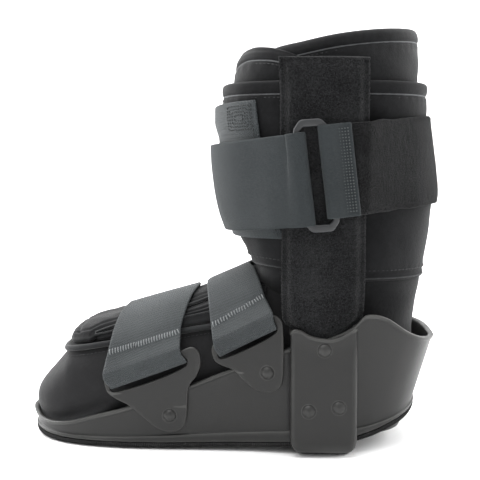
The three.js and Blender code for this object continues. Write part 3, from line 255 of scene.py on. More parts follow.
class Bag:
    """Collects faces with a flow (lengths along and across, in mm) at each point."""

    def __init__(self):
        self.points, self.flows, self.faces, self.count = [], [], [], 0

    def add(self, points, faces, flow=None):
        points = np.asarray(points, float).reshape(-1, 3)
        flow = np.zeros_like(points) if flow is None else np.asarray(flow, float).reshape(-1, 3)
        self.points.append(points)
        self.flows.append(flow)
        self.faces.extend([[i + self.count for i in f] for f in faces])
        self.count += len(points)

    def grid(self, p, flow=None, closed_u=False, closed_v=False, flip=False):
        nu, nv = p.shape[:2]
        if flow is None:
            flow = flow_of(p)
        idx = np.arange(nu * nv).reshape(nu, nv)
        a = idx if closed_u else idx[:-1]
        b = np.roll(idx, -1, 0) if closed_u else idx[1:]
        if closed_v:
            q = np.stack([a, b, np.roll(b, -1, 1), np.roll(a, -1, 1)], -1)
        else:
            q = np.stack([a[:, :-1], b[:, :-1], b[:, 1:], a[:, 1:]], -1)
        q = q.reshape(-1, 4)
        if flip:
            q = q[:, ::-1]
        self.add(p, q.tolist(), flow)

    def fan(self, loop, flip=False):
        n = len(loop)
        p = np.vstack([loop, loop.mean(0)])
        f = [[n, (k + 1) % n, k] if flip else [n, k, (k + 1) % n] for k in range(n)]
        self.add(p, f)

    def make(self, name, material, weld=0.0, sharp=None):
        mesh = bpy.data.meshes.new(name)
        pts = np.vstack(self.points)
        mesh.from_pydata(place(pts).tolist(), [], self.faces)
        at = mesh.attributes.new("flow", "FLOAT_VECTOR", "POINT")
        at.data.foreach_set("vector", np.vstack(self.flows).astype(np.float32).ravel())
        bm = bmesh.new()
        bm.from_mesh(mesh)
        if weld:
            bmesh.ops.remove_doubles(bm, verts=bm.verts, dist=weld / 1000)
        bmesh.ops.recalc_face_normals(bm, faces=bm.faces)
        bm.to_mesh(mesh)
        bm.free()
        mesh.validate()
        mesh.polygons.foreach_set("use_smooth", [True] * len(mesh.polygons))
        if sharp:
            mesh.set_sharp_from_angle(angle=math.radians(sharp))
        mesh.update()
        obj = bpy.data.objects.new(name, mesh)
        bpy.context.scene.collection.objects.link(obj)
        mesh.materials.append(material)
        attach(obj, "root")
        return obj


def flow_of(p):
    u = np.zeros(p.shape[:2])
    v = np.zeros(p.shape[:2])
    u[1:] = np.cumsum(np.linalg.norm(np.diff(p, axis=0), axis=-1), axis=0)
    v[:, 1:] = np.cumsum(np.linalg.norm(np.diff(p, axis=1), axis=-1), axis=1)
    u[:] = u.mean(1, keepdims=True)
    v[:] = v.mean(0, keepdims=True)
    return np.stack([u, v, np.zeros_like(u)], -1)


def normals(p):
    return unit(np.cross(np.gradient(p, axis=0), np.gradient(p, axis=1)))


def slab(bag, p, thick, flow=None):
    """Closed sheet of a given thickness round a middle surface, all its edges rounded."""
    n = normals(p)
    half = np.broadcast_to(np.asarray(thick, float), p.shape[:2])[..., None] / 2
    flow = flow_of(p) if flow is None else flow
    ends = []
    for k, inner in ((0, 1), (-1, -2)):
        tangent = unit(p[k] - p[inner])
        ends.append([(p[k] + tangent * half[k] * math.cos(a), n[k], half[k] * math.sin(a), flow[k])
                     for a in (0, PI / 4)])
    first, last = ends[0], ends[1][::-1]
    p, n, half, flow = (np.concatenate([[r[k] for r in first], whole, [r[k] for r in last]])
                        for k, whole in enumerate((p, n, half, flow)))
    loop, fl = [p + n * half], [flow]
    for high in (True, False):
        k = -1 if high else 0
        out = unit(p[:, k] - p[:, -2 if high else 1])
        hk, nk = half[:, k], n[:, k]
        angles = EDGE_ARC if high else -EDGE_ARC
        edge = [p[:, k] + nk * hk * math.sin(a) + out * hk * math.cos(a) for a in angles]
        loop.append(np.stack(edge, 1))
        fl.append(np.repeat(flow[:, k][:, None], len(edge), 1))
        if high:
            loop.append((p - n * half)[:, ::-1])
            fl.append(flow[:, ::-1])
    bag.grid(np.concatenate(loop, 1), np.concatenate(fl, 1), closed_v=True)


def tube(bag, path, radius, sides=10, closed=False):
    """Round cord along a path."""
    path = np.asarray(path, float)
    way = unit(np.roll(path, -1, 0) - np.roll(path, 1, 0)) if closed else unit(np.gradient(path, axis=0))
    side = unit(np.cross(way, np.broadcast_to(UP, path.shape)))
    top = unit(np.cross(side, way))
    a = np.linspace(0, 2 * PI, sides, endpoint=False)
    ring = np.cos(a)[None, :, None] * side[:, None] + np.sin(a)[None, :, None] * top[:, None]
    p = path[:, None] + radius * ring
    s = np.concatenate([[0], np.cumsum(np.linalg.norm(np.diff(path, axis=0), axis=1))])
    around = np.broadcast_to((a * radius)[None, :], p.shape[:2])
    flow = np.stack([np.broadcast_to(s[:, None], p.shape[:2]), around, np.zeros(p.shape[:2])], -1)
    bag.grid(p, flow, closed_u=closed, closed_v=True, flip=True)
    if closed:
        return
    for k in (0, -1):
        tip = path[k] + (way[k] if k else -way[k]) * radius * 0.5
        faces = [[sides, (j + 1) % sides, j] if k else [sides, j, (j + 1) % sides] for j in range(sides)]
        bag.add(np.vstack([p[k], tip]), faces, np.repeat(flow[k][:1], sides + 1, 0))


def stitches(bag, path, normal, pitch, size, radius, lift=0.0):
    """Row of short threads along a path, each one bedded in the surface at its ends."""
    path = np.asarray(path, float)
    total = length_of(path)
    n = max(int(total / pitch), 1)
    s = np.concatenate([[0], np.cumsum(np.linalg.norm(np.diff(path, axis=0), axis=1))])
    at = (np.arange(n) + 0.5) * total / n

    def along(v):
        return np.stack([np.interp(at, s, v[:, k]) for k in range(3)], 1)

    c, w = along(path), unit(along(np.gradient(path, axis=0)))
    nn = unit(along(np.broadcast_to(normal, path.shape)))
    side = unit(np.cross(w, nn))
    t = np.linspace(-1, 1, 5)
    hgt = np.cos(t * PI / 2) * radius * 0.9 - radius * 0.25 + lift
    wid = np.array([0.35, 0.9, 1, 0.9, 0.35]) * radius
    a = np.linspace(0, 2 * PI, 6, endpoint=False)
    for k in range(n):
        centre = c[k] + np.outer(t * size / 2, w[k]) + np.outer(hgt, nn[k])
        ring = np.cos(a)[:, None] * side[k] + np.sin(a)[:, None] * nn[k]
        p = centre[:, None] + wid[:, None, None] * ring[None]
        bag.grid(p, np.full(p.shape, [at[k], 0, 0]), closed_v=True)


# ---------------------------------------------------------------- forms of the boot
def oval(a, b, angle):
    """Points and outward normals of a squared oval, its half axes a and b."""
    c, s = np.cos(angle), np.sin(angle)
    u = np.sign(c) * np.abs(c) ** (2 / OVAL_LONG)
    v = np.sign(s) * np.abs(s) ** (2 / OVAL_CROSS)
    nu = np.sign(u) * np.abs(u) ** (OVAL_LONG - 1) / a
    nv = np.sign(v) * np.abs(v) ** (OVAL_CROSS - 1) / b
    size = np.hypot(nu, nv)
    return a * u, b * v, nu / size, nv / size


TOE_LEAN, HEEL_LEAN, SIDE_LEAN, HEEL_SIDE_LEAN = 0.23, 0.28, 0.026, 0.146
TOE_END, HEEL_END = OUTLINE[0, 0], OUTLINE[-1, 0]
PIVOT = 0.64 * BOOT_L
FLARE = (0.64 * BOOT_L, 0.79 * BOOT_L)
_half = curve(*OUTLINE.T)


def lean_along(x):
    return np.where(x < PIVOT, -TOE_LEAN * (PIVOT - x) / (PIVOT - TOE_END),
                    HEEL_LEAN * (x - PIVOT) / (HEEL_END - PIVOT))


def wall_slope(x):
    return mix(SIDE_LEAN, HEEL_SIDE_LEAN, ease(x, *FLARE))


def wall_at(x, z):
    foot = x - lean_along(x) * z
    return _half(foot) + wall_slope(foot) * z


LOOP_N = 440
_loop_src = np.vstack([np.column_stack([OUTLINE[:, 0], -OUTLINE[:, 1]]),
                       np.column_stack([OUTLINE[1:-1][::-1, 0], OUTLINE[1:-1][::-1, 1]])])
LOOP = spline(_loop_src, LOOP_N, closed=True)
WIDEST = OUTLINE[:, 1].max()


def shell_ring(z, out, loop=None):
    """Ring of the shell's outer face at the heights z (one for each point), moved out by a distance."""
    loop = LOOP if loop is None else loop
    x, y = loop[:, 0], loop[:, 1]
    side = wall_slope(x) * z * y / np.maximum(_half(x), WIDEST / 4)
    p = np.column_stack([x + lean_along(x) * z, y + side, np.broadcast_to(z, x.shape)])
    before, after = np.roll(p, 1, 0), np.roll(p, -1, 0)
    way = np.column_stack([after[:, 1] - before[:, 1], before[:, 0] - after[:, 0], np.zeros(len(p))])
    return p + unit(way) * np.broadcast_to(out, x.shape)[:, None]


leg_front, leg_back, leg_half = (curve(LEG[:, 0], c) for c in LEG.T[1:])


def leg_point(turn, z, out):
    turn, z, out = np.broadcast_arrays(np.asarray(turn, float), np.asarray(z, float), np.asarray(out, float))
    a = (leg_back(z) - leg_front(z)) / 2
    u, v, nu, nv = oval(a, leg_half(z), turn)
    return np.stack([leg_back(z) - a - u - nu * out, -v - nv * out, z], -1)


foot_half, foot_low, foot_high = (curve(FOOT[:, 0], c) for c in FOOT.T[1:])


def foot_base(turn, x):
    turn, x = np.broadcast_arrays(np.asarray(turn, float), np.asarray(x, float))
    b = (foot_high(x) - foot_low(x)) / 2
    u, v, _, _ = oval(b, foot_half(x), turn)
    return np.stack([x, -v, foot_high(x) - b + u], -1)


def foot_point(turn, x, out):
    here = foot_base(turn, x)
    turn, x = np.asarray(turn), np.asarray(x)
    along = foot_base(turn, x + 0.5) - foot_base(turn, x - 0.5)
    d = math.radians(0.5)
    way = unit(np.cross(along, foot_base(turn + d, x) - foot_base(turn - d, x)))
    mid = (foot_high(x) + foot_low(x)) / 2
    ref = np.stack([np.zeros(here.shape[:-1]), here[..., 1], here[..., 2] - mid], -1)
    way = np.where((way * ref).sum(-1, keepdims=True) < 0, -way, way)
    return here + way * np.asarray(out, float)[..., None] if np.ndim(out) else here + way * out


LEG_TURN = 2 * PI / 30
FLAP_REACH = 5 * LEG_TURN


def flap_thick(turn):
    t = np.abs(turn) / FLAP_REACH
    return np.where(t > 1, 0, mix(LEG_FLAP, LEG_FLAP_EDGE, ease(t, 0.55, 1)))
HEM_FRONT, HEM_BACK, WRAP_TOP = 0.4215 * BOOT_H, 0.396 * BOOT_H, 0.8495 * BOOT_H
wrap_front, wrap_back = (curve(*t.T) for t in (WRAP_FRONT, WRAP_BACK))


def wrap_inner(turn, z):
    covered = 1 - ease(np.abs(turn), FLAP_REACH, FLAP_REACH + math.radians(16))
    thick = np.where(np.abs(turn) < FLAP_REACH, flap_thick(turn), LEG_FLAP_EDGE * covered)
    return leg_point(turn, z, thick + (1 + covered) * GAP)


def wrap_outer(turn, z, extra=0.0):
    turn, z = np.broadcast_arrays(np.asarray(turn, float), np.asarray(z, float))
    inner = wrap_inner(turn, z)
    front = wrap_inner(np.zeros_like(z), z)[..., 0] - wrap_front(z)
    back = wrap_back(z) - wrap_inner(np.full(z.shape, PI), z)[..., 0]
    thick = WRAP_SIDE * mix(0.7, 1, ease(z, HEM_BACK, HEM_BACK + 12))
    thick = mix(thick, front, ease(np.cos(turn), 0.1, 0.95))
    thick = mix(thick, back, ease(-np.cos(turn), 0.25, 0.95))
    away = unit(leg_point(turn, z, 10) - leg_point(turn, z, 0))
    return inner + away * (thick + extra)[..., None]


def wrap_hem(turn):
    return mix(HEM_FRONT, HEM_BACK, ease(1 - np.cos(turn), 0.1, 1.1))


PANEL_GAP = 0.7
PANEL_FAR, PANEL_NEAR_TOP, PANEL_NEAR_LOW = math.radians(-16), math.radians(48), math.radians(57)
PANEL_TOP, PANEL_RISE, PANEL_LOW = 0.7905 * BOOT_H, 0.0145 * BOOT_H, 0.4955 * BOOT_H


def panel_point(across, up, out):
    across, up = np.broadcast_arrays(np.asarray(across, float), np.asarray(up, float))
    near = mix(PANEL_NEAR_LOW, PANEL_NEAR_TOP, up)
    turn = mix(PANEL_FAR, near, across)
    high = PANEL_TOP + PANEL_RISE * across
    return wrap_outer(turn, mix(PANEL_LOW, high, up), PANEL_GAP + out)


UP_HALF, UP_EDGE, UP_EDGE_W = 3.2, 1.2, 6.0
up_front, up_back = (curve(SLEEVE[:, 0], c) for c in SLEEVE.T[1:])


UP_SIDE, UP_LEAN, UP_KNEE = 50.2, 0.055, 0.268 * BOOT_H


def up_side(z):
    return UP_SIDE + UP_LEAN * np.maximum(0, z - UP_KNEE)


def up_corners(z):
    a, b, s = float(up_front(z)), float(up_back(z)), float(up_side(z))
    w = UP_EDGE_W
    return [(a, -(s + UP_EDGE)), (a + w, -(s + UP_HALF)), (b - w, -(s + UP_HALF)), (b, -(s + UP_EDGE))]


# ---------------------------------------------------------------- straps over the leg
LEG_MID = 0.722 * BOOT_L


def hull_at(z):
    t = np.linspace(-PI, PI, 120, endpoint=False)
    pts = wrap_outer(t, np.full(t.shape, z))[:, :2].tolist()
    for x, y in up_corners(z):
        pts += [[x, y], [x, -y]]
    if PANEL_LOW - 2 < z < PANEL_TOP:
        share = max((z - PANEL_LOW) / (PANEL_TOP - PANEL_LOW), 0)
        turn = mix(PANEL_FAR, mix(PANEL_NEAR_LOW, PANEL_NEAR_TOP, share), np.linspace(0, 1, 16))
        pts += wrap_outer(turn, np.full(16, z), PANEL_GAP + PANEL + 0.9)[:, :2].tolist()
    pts = sorted(map(tuple, pts))

    def chain(seq):
        kept = []
        for q in seq:
            while len(kept) > 1 and ((kept[-1][0] - kept[-2][0]) * (q[1] - kept[-2][1])
                                     - (kept[-1][1] - kept[-2][1]) * (q[0] - kept[-2][0])) <= 0:
                kept.pop()
            kept.append(q)
        return kept[:-1]

    hull = np.array(chain(pts) + chain(pts[::-1]))
    nxt = np.roll(hull, -1, 0)
    d = nxt - hull
    n = unit(np.column_stack([d[:, 1], -d[:, 0]]))
    return n, (n * (hull - [LEG_MID, 0])).sum(1)


HULL_LEVELS = np.arange(100, 212, 2.0)
HULLS = [hull_at(z) for z in HULL_LEVELS]


def reach_at(turn, z, out):
    way = np.array([-math.cos(turn), -math.sin(turn)])

    def one(k):
        n, r = HULLS[k]
        c = n @ way
        ok = c > 0.05
        return ((r[ok] + out) / c[ok]).min()

    f = min(max((z - HULL_LEVELS[0]) / 2.0, 0), len(HULLS) - 1.001)
    k = int(f)
    return mix(one(k), one(k + 1), f - k)


def strap_point(turn, out, level):
    dx, dy = -math.cos(turn), -math.sin(turn)
    z, reach = level(LEG_MID), 0
    for _ in range(3):
        reach = reach_at(turn, z, out)
        z = level(LEG_MID + dx * reach)
    return np.array([LEG_MID + dx * reach, dy * reach, z])


def corner_turn(corner, level):
    z, turn = level(LEG_MID), 0
    for _ in range(3):
        x, y = up_corners(z)[corner]
        turn = math.atan2(-y, LEG_MID - x)
        z = level(x)
    return turn


RING_MID, RING_UP, RING_SLANT = 0.7 * BOOT_L, 0.638 * BOOT_H, -0.121
RING_W, RING_H, RING_BAR, RING_END, RING_T, RING_TILT = 19.6, 60.6, 3.3, 3.4, 2.6, 0.07
RING_REST = STRAP_GAP + WEBBING + STRAP_GAP


def ring_at(z):
    return RING_MID + RING_SLANT * (z - RING_UP)


def flat_point(offset, out, level):
    z = level(RING_MID + offset)
    return np.array([ring_at(z) + offset, -(up_side(z) + UP_HALF + out), z])


LEVEL_BASE = 0.455 * BOOT_L


def front_level(v):
    return lambda x: mix(0.5045, 0.7053, v) * BOOT_H + 0.115 * (x - LEVEL_BASE)


def rear_level(v):
    return lambda x: mix(0.5185, 0.7187, v) * BOOT_H + 0.104 * (x - LEVEL_BASE)


LOOP_R = (RING_T + WEBBING) / 2 + STRAP_GAP


def bar_loop(side, level, thick):
    low = STRAP_GAP + thick / 2
    high = low + 2 * LOOP_R
    start = RING_W / 2 - RING_BAR
    pts = []
    for a in np.linspace(-90, 90, 9):
        c, s = math.cos(math.radians(a)), math.sin(math.radians(a))
        pts.append(flat_point(side * (start - LOOP_R * c), (low + high) / 2 + LOOP_R * s, level))
    pts.append(flat_point(side * (RING_W / 2 + 0.6), high, level))
    return pts


# ---------------------------------------------------------------- materials
class Look:
    """Small helper that builds one node material."""

    def __init__(self, name):
        self.m = bpy.data.materials.new(name)
        self.m.use_nodes = True
        self.t = self.m.node_tree
        self.t.nodes.clear()
        self.out = self.t.nodes.new("ShaderNodeOutputMaterial")
        self.bsdf = self.t.nodes.new("ShaderNodeBsdfPrincipled")
        self.t.links.new(self.bsdf.outputs[0], self.out.inputs[0])

    def node(self, kind, links=(), **values):
        n = self.t.nodes.new(kind)
        for k, v in values.items():
            setattr(n, k, v)
        for socket, source in dict(links).items():
            if hasattr(source, "bl_idname") and not hasattr(source, "outputs"):
                self.t.links.new(source, n.inputs[socket])
            else:
                n.inputs[socket].default_value = source
        return n

    def coords(self):
        return self.node("ShaderNodeTexCoord").outputs["Object"]

    def flow(self):
        return self.node("ShaderNodeAttribute", attribute_name="flow").outputs["Vector"]

    def noise(self, vector, scale, detail=3.0, rough=0.55, distort=0.0):
        return self.node("ShaderNodeTexNoise", {"Vector": vector, "Scale": scale, "Detail": detail,
                                                "Roughness": rough, "Distortion": distort}).outputs["Fac"]

    def math(self, op, a, b=0.0):
        return self.node("ShaderNodeMath", {0: a, 1: b}, operation=op).outputs[0]

    def sum(self, *terms):
        """Sum of sockets, each with its share."""
        total = None
        for socket, share in terms:
            part = self.math("MULTIPLY", socket, share)
            total = part if total is None else self.math("ADD", total, part)
        return total

    def ramp(self, fac, stops):
        n = self.node("ShaderNodeValToRGB", {"Fac": fac})
        el = n.color_ramp.elements
        while len(el) < len(stops):
            el.new(0.5)
        for e, (pos, col) in zip(el, stops):
            e.position = pos
            e.color = (*col, 1)
        return n.outputs["Color"]

    def remap(self, value, a, b, c, d):
        return self.node("ShaderNodeMapRange", {0: value, 1: a, 2: b, 3: c, 4: d}).outputs[0]

    def blend(self, fac, a, b, kind="MIX"):
        n = self.node("ShaderNodeMix", data_type="RGBA", blend_type=kind)
        for s, v in ((0, fac), (6, a), (7, b)):
            if hasattr(v, "bl_idname"):
                self.t.links.new(v, n.inputs[s])
            elif s == 0:
                n.inputs[s].default_value = v
            else:
                n.inputs[s].default_value = (*v, 1)
        return n.outputs[2]

    def bump(self, height, distance, strength=1.0, normal=None):
        links = {"Height": height, "Distance": distance, "Strength": strength}
        if normal is not None:
            links["Normal"] = normal
        return self.node("ShaderNodeBump", links).outputs[0]

    def shader(self, **values):
        for name, v in values.items():
            socket = self.bsdf.inputs[name.replace("_", " ")]
            if hasattr(v, "bl_idname"):
                self.t.links.new(v, socket)
            else:
                socket.default_value = v
        return self.m


def paler(colour, times):
    return tuple(min(c * times, 1) for c in colour)


def fleece_look(name, low, high):
    """Brushed loop cloth: clumped pile, a few paler fibres."""
    k = Look(name)
    v = k.coords()
    clump = k.noise(v, 1000, 4, 0.7, 0.8)
    fibre = k.noise(v, 1900, 2, 0.6, 1.5)
    wide = k.noise(v, 45, 3, 0.5)
    fleck = k.remap(k.noise(v, 1300, 1, 0.5, 2.5), 0.6, 0.74, 0, 1)
    tone = k.sum((clump, 0.75), (wide, 0.25))
    base = k.ramp(tone, [(0.40, low), (0.62, high)])
    base = k.blend(k.math("MULTIPLY", fleck, 0.5), base, paler(high, 2.4))
    n = k.bump(k.sum((clump, 0.7), (fibre, 0.3)), 0.0016, 1.0)
    return k.shader(Base_Color=base, Roughness=0.95, Normal=n, Sheen_Weight=0.10,
                    Sheen_Roughness=0.35, Specular_IOR_Level=0.08)


def cloth_look(name, low, high, sheen=0.10):
    """Soft knitted face cloth over foam."""
    k = Look(name)
    v = k.coords()
    knit = k.noise(v, 2400, 2, 0.5)
    soft = k.noise(v, 420, 5, 0.68)
    wide = k.noise(v, 30, 3, 0.5)
    base = k.ramp(k.sum((soft, 0.5), (wide, 0.5)), [(0.35, low), (0.68, high)])
    n = k.bump(k.sum((knit, 0.35), (soft, 0.65)), 0.0006, 0.55)
    rough = k.remap(soft, 0.3, 0.7, 0.78, 0.92)
    return k.shader(Base_Color=base, Roughness=rough, Normal=n, Sheen_Weight=sheen,
                    Sheen_Roughness=0.5, Specular_IOR_Level=0.12)


def webbing_look(name, low, high, rib, cross, depth, rough=0.62):
    """Woven tape: warp ribs across the flow and fine picks along it, with painted shade darkening the weave's
    low parts.
    """
    k = Look(name)
    f = k.flow()
    sep = k.node("ShaderNodeSeparateXYZ", {0: f})
    warp = k.math("SINE", k.math("MULTIPLY", sep.outputs[1], 2 * PI / rib))
    pick = k.math("SINE", k.math("MULTIPLY", sep.outputs[0], 2 * PI / cross))
    weave = k.math("MULTIPLY", warp, pick)
    stretch = k.node("ShaderNodeVectorMath", {0: f, 1: (0.35, 2.6, 1)}, operation="MULTIPLY")
    yarn = k.noise(stretch.outputs[0], 1.0, 3)
    wide = k.noise(k.coords(), 38, 3, 0.55)
    speck = k.noise(k.coords(), 1100, 3, 0.7)
    base = k.ramp(k.sum((yarn, 0.25), (wide, 0.25), (speck, 0.5)), [(0.34, low), (0.66, high)])
    # Painted shade: where the weave sinks in the bump, the colour is darkened as if shaded.
    dark = k.remap(weave, -1, 1, 0.72, 1.0)
    shade = k.node("ShaderNodeCombineColor", {0: dark, 1: dark, 2: dark})
    base = k.blend(1.0, base, shade.outputs[0], "MULTIPLY")
    n = k.bump(k.sum((weave, 0.5), (yarn, 0.5)), depth, 0.8)
    return k.shader(Base_Color=base, Roughness=rough, Normal=n, Sheen_Weight=0.04,
                    Sheen_Roughness=0.4, Specular_IOR_Level=0.3)


def plastic_look(name, low, high, rough=(0.36, 0.5)):
    """Moulded shell: fine grain, faint flow marks, and convex edges painted paler as a painted highlight."""
    k = Look(name)
    v = k.coords()
    fine = k.noise(v, 1500, 3, 0.6)
    flow = k.noise(v, 26, 4, 0.55, 1.2)
    dust = k.remap(k.noise(v, 240, 5, 0.75, 0.8), 0.62, 0.8, 0, 1)
    # Painted highlight: convex edges, found by pointiness, are painted paler to stand for the light they
    # catch.
    edge = k.node("ShaderNodeNewGeometry").outputs["Pointiness"]
    painted_edge_highlight = k.math("MULTIPLY", k.remap(edge, 0.506, 0.545, 0, 1), k.remap(flow, 0.35, 0.65, 0.45, 1.0))
    base = k.ramp(flow, [(0.3, low), (0.7, high)])
    base = k.blend(k.math("MULTIPLY", painted_edge_highlight, 0.4), base, paler(high, 12))
    base = k.blend(k.math("MULTIPLY", dust, 0.10), base, paler(high, 4))
    r = k.math("ADD", k.remap(flow, 0.3, 0.7, *rough), k.math("MULTIPLY", dust, 0.12))
    n = k.bump(fine, 0.00012, 0.7)
    n = k.bump(k.noise(v, 70, 2), 0.0004, 0.25, n)
    return k.shader(Base_Color=base, Roughness=r, Normal=n, Specular_IOR_Level=0.31)


def rubber_look(name, low, high):
    """Dusty rubber, fine-grained."""
    k = Look(name)
    v = k.coords()
    fine = k.noise(v, 900, 4, 0.65)
    dust = k.noise(v, 60, 4, 0.6)
    base = k.ramp(dust, [(0.35, low), (0.7, high)])
    return k.shader(Base_Color=base, Roughness=k.remap(dust, 0.3, 0.7, 0.7, 0.9),
                    Normal=k.bump(fine, 0.0003, 0.6), Specular_IOR_Level=0.35)


FLEECE_M = fleece_look("fleece", (0.002, 0.0022, 0.0025), (0.022, 0.0225, 0.0235))
FLEECE_STRAP_M = fleece_look("fleece_strap", (0.0012, 0.0013, 0.0015), (0.0125, 0.0128, 0.0134))
PILE_M = fleece_look("fleece_fibre", (0.008, 0.008, 0.0085), (0.035, 0.035, 0.036))
CLOTH_M = cloth_look("liner_cloth", (0.002, 0.0022, 0.0025), (0.012, 0.0124, 0.0132))
WRAP_M = cloth_look("wrap_cloth", (0.0015, 0.0017, 0.002), (0.0105, 0.0108, 0.0116), 0.06)
TOE_M = cloth_look("toe_cloth", (0.009, 0.009, 0.0095), (0.017, 0.017, 0.0178), 0.08)
# The piping cloth is painted paler than the liner cloth as a highlight on the real rolled piping and binding.
PIPING_HIGHLIGHT_M = cloth_look("piping_cloth_painted_highlight", (0.010, 0.0105, 0.011), (0.020, 0.021, 0.022), 0.15)
# Painted highlight: the seam and hem cords are pale thin tubes that stand for the bright lines where the
# seams catch the light.
SEAM_HIGHLIGHT_CORD_M = cloth_look("seam_cord_painted_highlight", (0.045, 0.047, 0.049), (0.10, 0.104, 0.108), 0.2)
HEM_HIGHLIGHT_CORD_M = cloth_look("hem_cord_painted_highlight", (0.014, 0.0145, 0.015), (0.03, 0.031, 0.032), 0.15)
TAB_THREAD_M = webbing_look("tab_thread", (0.06, 0.066, 0.068), (0.10, 0.108, 0.11), 0.4, 0.5, 0.0001, 0.5)
THREAD_M = webbing_look("thread", (0.14, 0.15, 0.155), (0.24, 0.255, 0.26), 0.4, 0.5, 0.0001, 0.45)
STITCH_M = webbing_look("dark_thread", (0.012, 0.0125, 0.013), (0.022, 0.023, 0.024), 0.4, 0.5, 0.0001, 0.6)
WEB_M = webbing_look("webbing", (0.010, 0.0135, 0.015), (0.027, 0.033, 0.036), 1.0, 0.8, 0.0004, 0.82)
WEB_FOOT_M = webbing_look("foot_webbing", (0.021, 0.025, 0.027), (0.048, 0.055, 0.058), 1.5, 1.0, 0.0007)
PANEL_M = webbing_look("panel_webbing", (0.022, 0.026, 0.028), (0.036, 0.043, 0.046), 1.6, 1.0, 0.0006)
SHELL_M = plastic_look("shell_plastic", (0.0045, 0.0046, 0.0043), (0.0085, 0.0085, 0.0081))
PLATE_M = plastic_look("bracket_plastic", (0.0045, 0.0046, 0.0043), (0.0088, 0.0088, 0.0084))
RIVET_M = plastic_look("rivet_plastic", (0.004, 0.004, 0.0038), (0.008, 0.008, 0.0077), (0.3, 0.42))
RING_M = plastic_look("ring_plastic", (0.004, 0.0042, 0.0044), (0.009, 0.0094, 0.010), (0.26, 0.36))
RUBBER_M = rubber_look("sole_rubber", (0.010, 0.010, 0.0103), (0.026, 0.026, 0.0258))


def keep(obj, node):
    """Hides the node of the part that a piece stands for, if it has one, and gives the piece back."""
    if node:
        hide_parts(node)
    return obj


# ---------------------------------------------------------------- shell
TREAD = 2.8
BAND_OUT, SHELL_LIP, POCKET_LIP, LIP_TOP = 1.3, 0.75, 0.55, 1.1
WELT_TOP, RIM_LOW = 0.9, 3.6
LIP_ARC = np.radians([25, 50, 75, 100, 125, 150, 175])
rim_z, pocket_z, welt_z = (curve(*t.T) for t in (np.vstack([RIM, HEEL_RIM]), POCKET_RIM, WELT))
sole_z = curve(*SOLE.T)
POCKET_FRONT, POCKET_BACK = 0.6445 * BOOT_L, 0.797 * BOOT_L


def height_along(fn, offset, out=0.0):
    """Height at which each upright line of the wall meets a side-view curve."""
    z = np.full(LOOP_N, 20.0)
    for _ in range(12):
        z = 0.5 * z + 0.5 * (fn(shell_ring(z, out)[:, 0]) + offset)
    return z


def lip_rows(row, top, lip, steps):
    """Rim of a moulded wall: a small step outward, then a rounded edge."""
    for down, out in steps:
        row(top - down, out)
    mid, r = (lip - SHELL_WALL) / 2, (lip + SHELL_WALL) / 2
    for a in LIP_ARC:
        row(top - LIP_TOP + LIP_TOP * math.sin(a), mid + r * math.cos(a))


def shell_piece():
    """Pan and heel cup: base band, welt, wall, rim and the plain inside."""
    low = height_along(sole_z, TREAD + GAP)
    welt = height_along(welt_z, 0)
    top = height_along(rim_z, 0)
    for _ in range(2):
        top = 0.25 * np.roll(top, 1) + 0.5 * top + 0.25 * np.roll(top, -1)
    rows = []

    def row(z, out):
        rows.append(shell_ring(z, out))

    row(low, -SHELL_WALL)
    for up, inset in ((0, 1.4), (0.1, 0.5), (0.6, 0.05), (1.2, 0)):
        row(low + up, BAND_OUT - inset)
    row(mix(low, welt, 0.6), BAND_OUT)
    for up, out in ((-0.8, BAND_OUT), (-0.3, 1.2), (0, 0.85), (0.2, 0.35), (0.35, 0.12), (WELT_TOP, 0)):
        row(welt + up, out)
    for t in (0.06, 0.14, 0.24, 0.36, 0.48, 0.6, 0.72, 0.82, 0.9):
        row(mix(welt + WELT_TOP, top - RIM_LOW, t), 0)
    steps = ((RIM_LOW, 0), (3.0, 0.06), (2.5, 0.35), (1.9, SHELL_LIP), (1.1, SHELL_LIP))
    lip_rows(row, top, SHELL_LIP, steps)
    for t in (0.02, 0.2, 0.5, 0.8, 1.0):
        row(mix(top - 1.5, np.minimum(12.0, top - 2), t), -SHELL_WALL)
    floor = shell_ring(np.full(LOOP_N, 9.0), -SHELL_WALL)
    bag = Bag()
    bag.grid(np.stack(rows + [floor], 0).transpose(1, 0, 2), closed_u=True)
    bag.fan(floor)
    bag.fan(rows[0], flip=True)
    return keep(bag.make("shell_pan", SHELL_M, sharp=60), "shell")


def corner(x, y, r, turns):
    """Points of a rounded corner about x, y."""
    return [(x + r * math.cos(a), y + r * math.sin(a)) for a in np.radians(turns)]


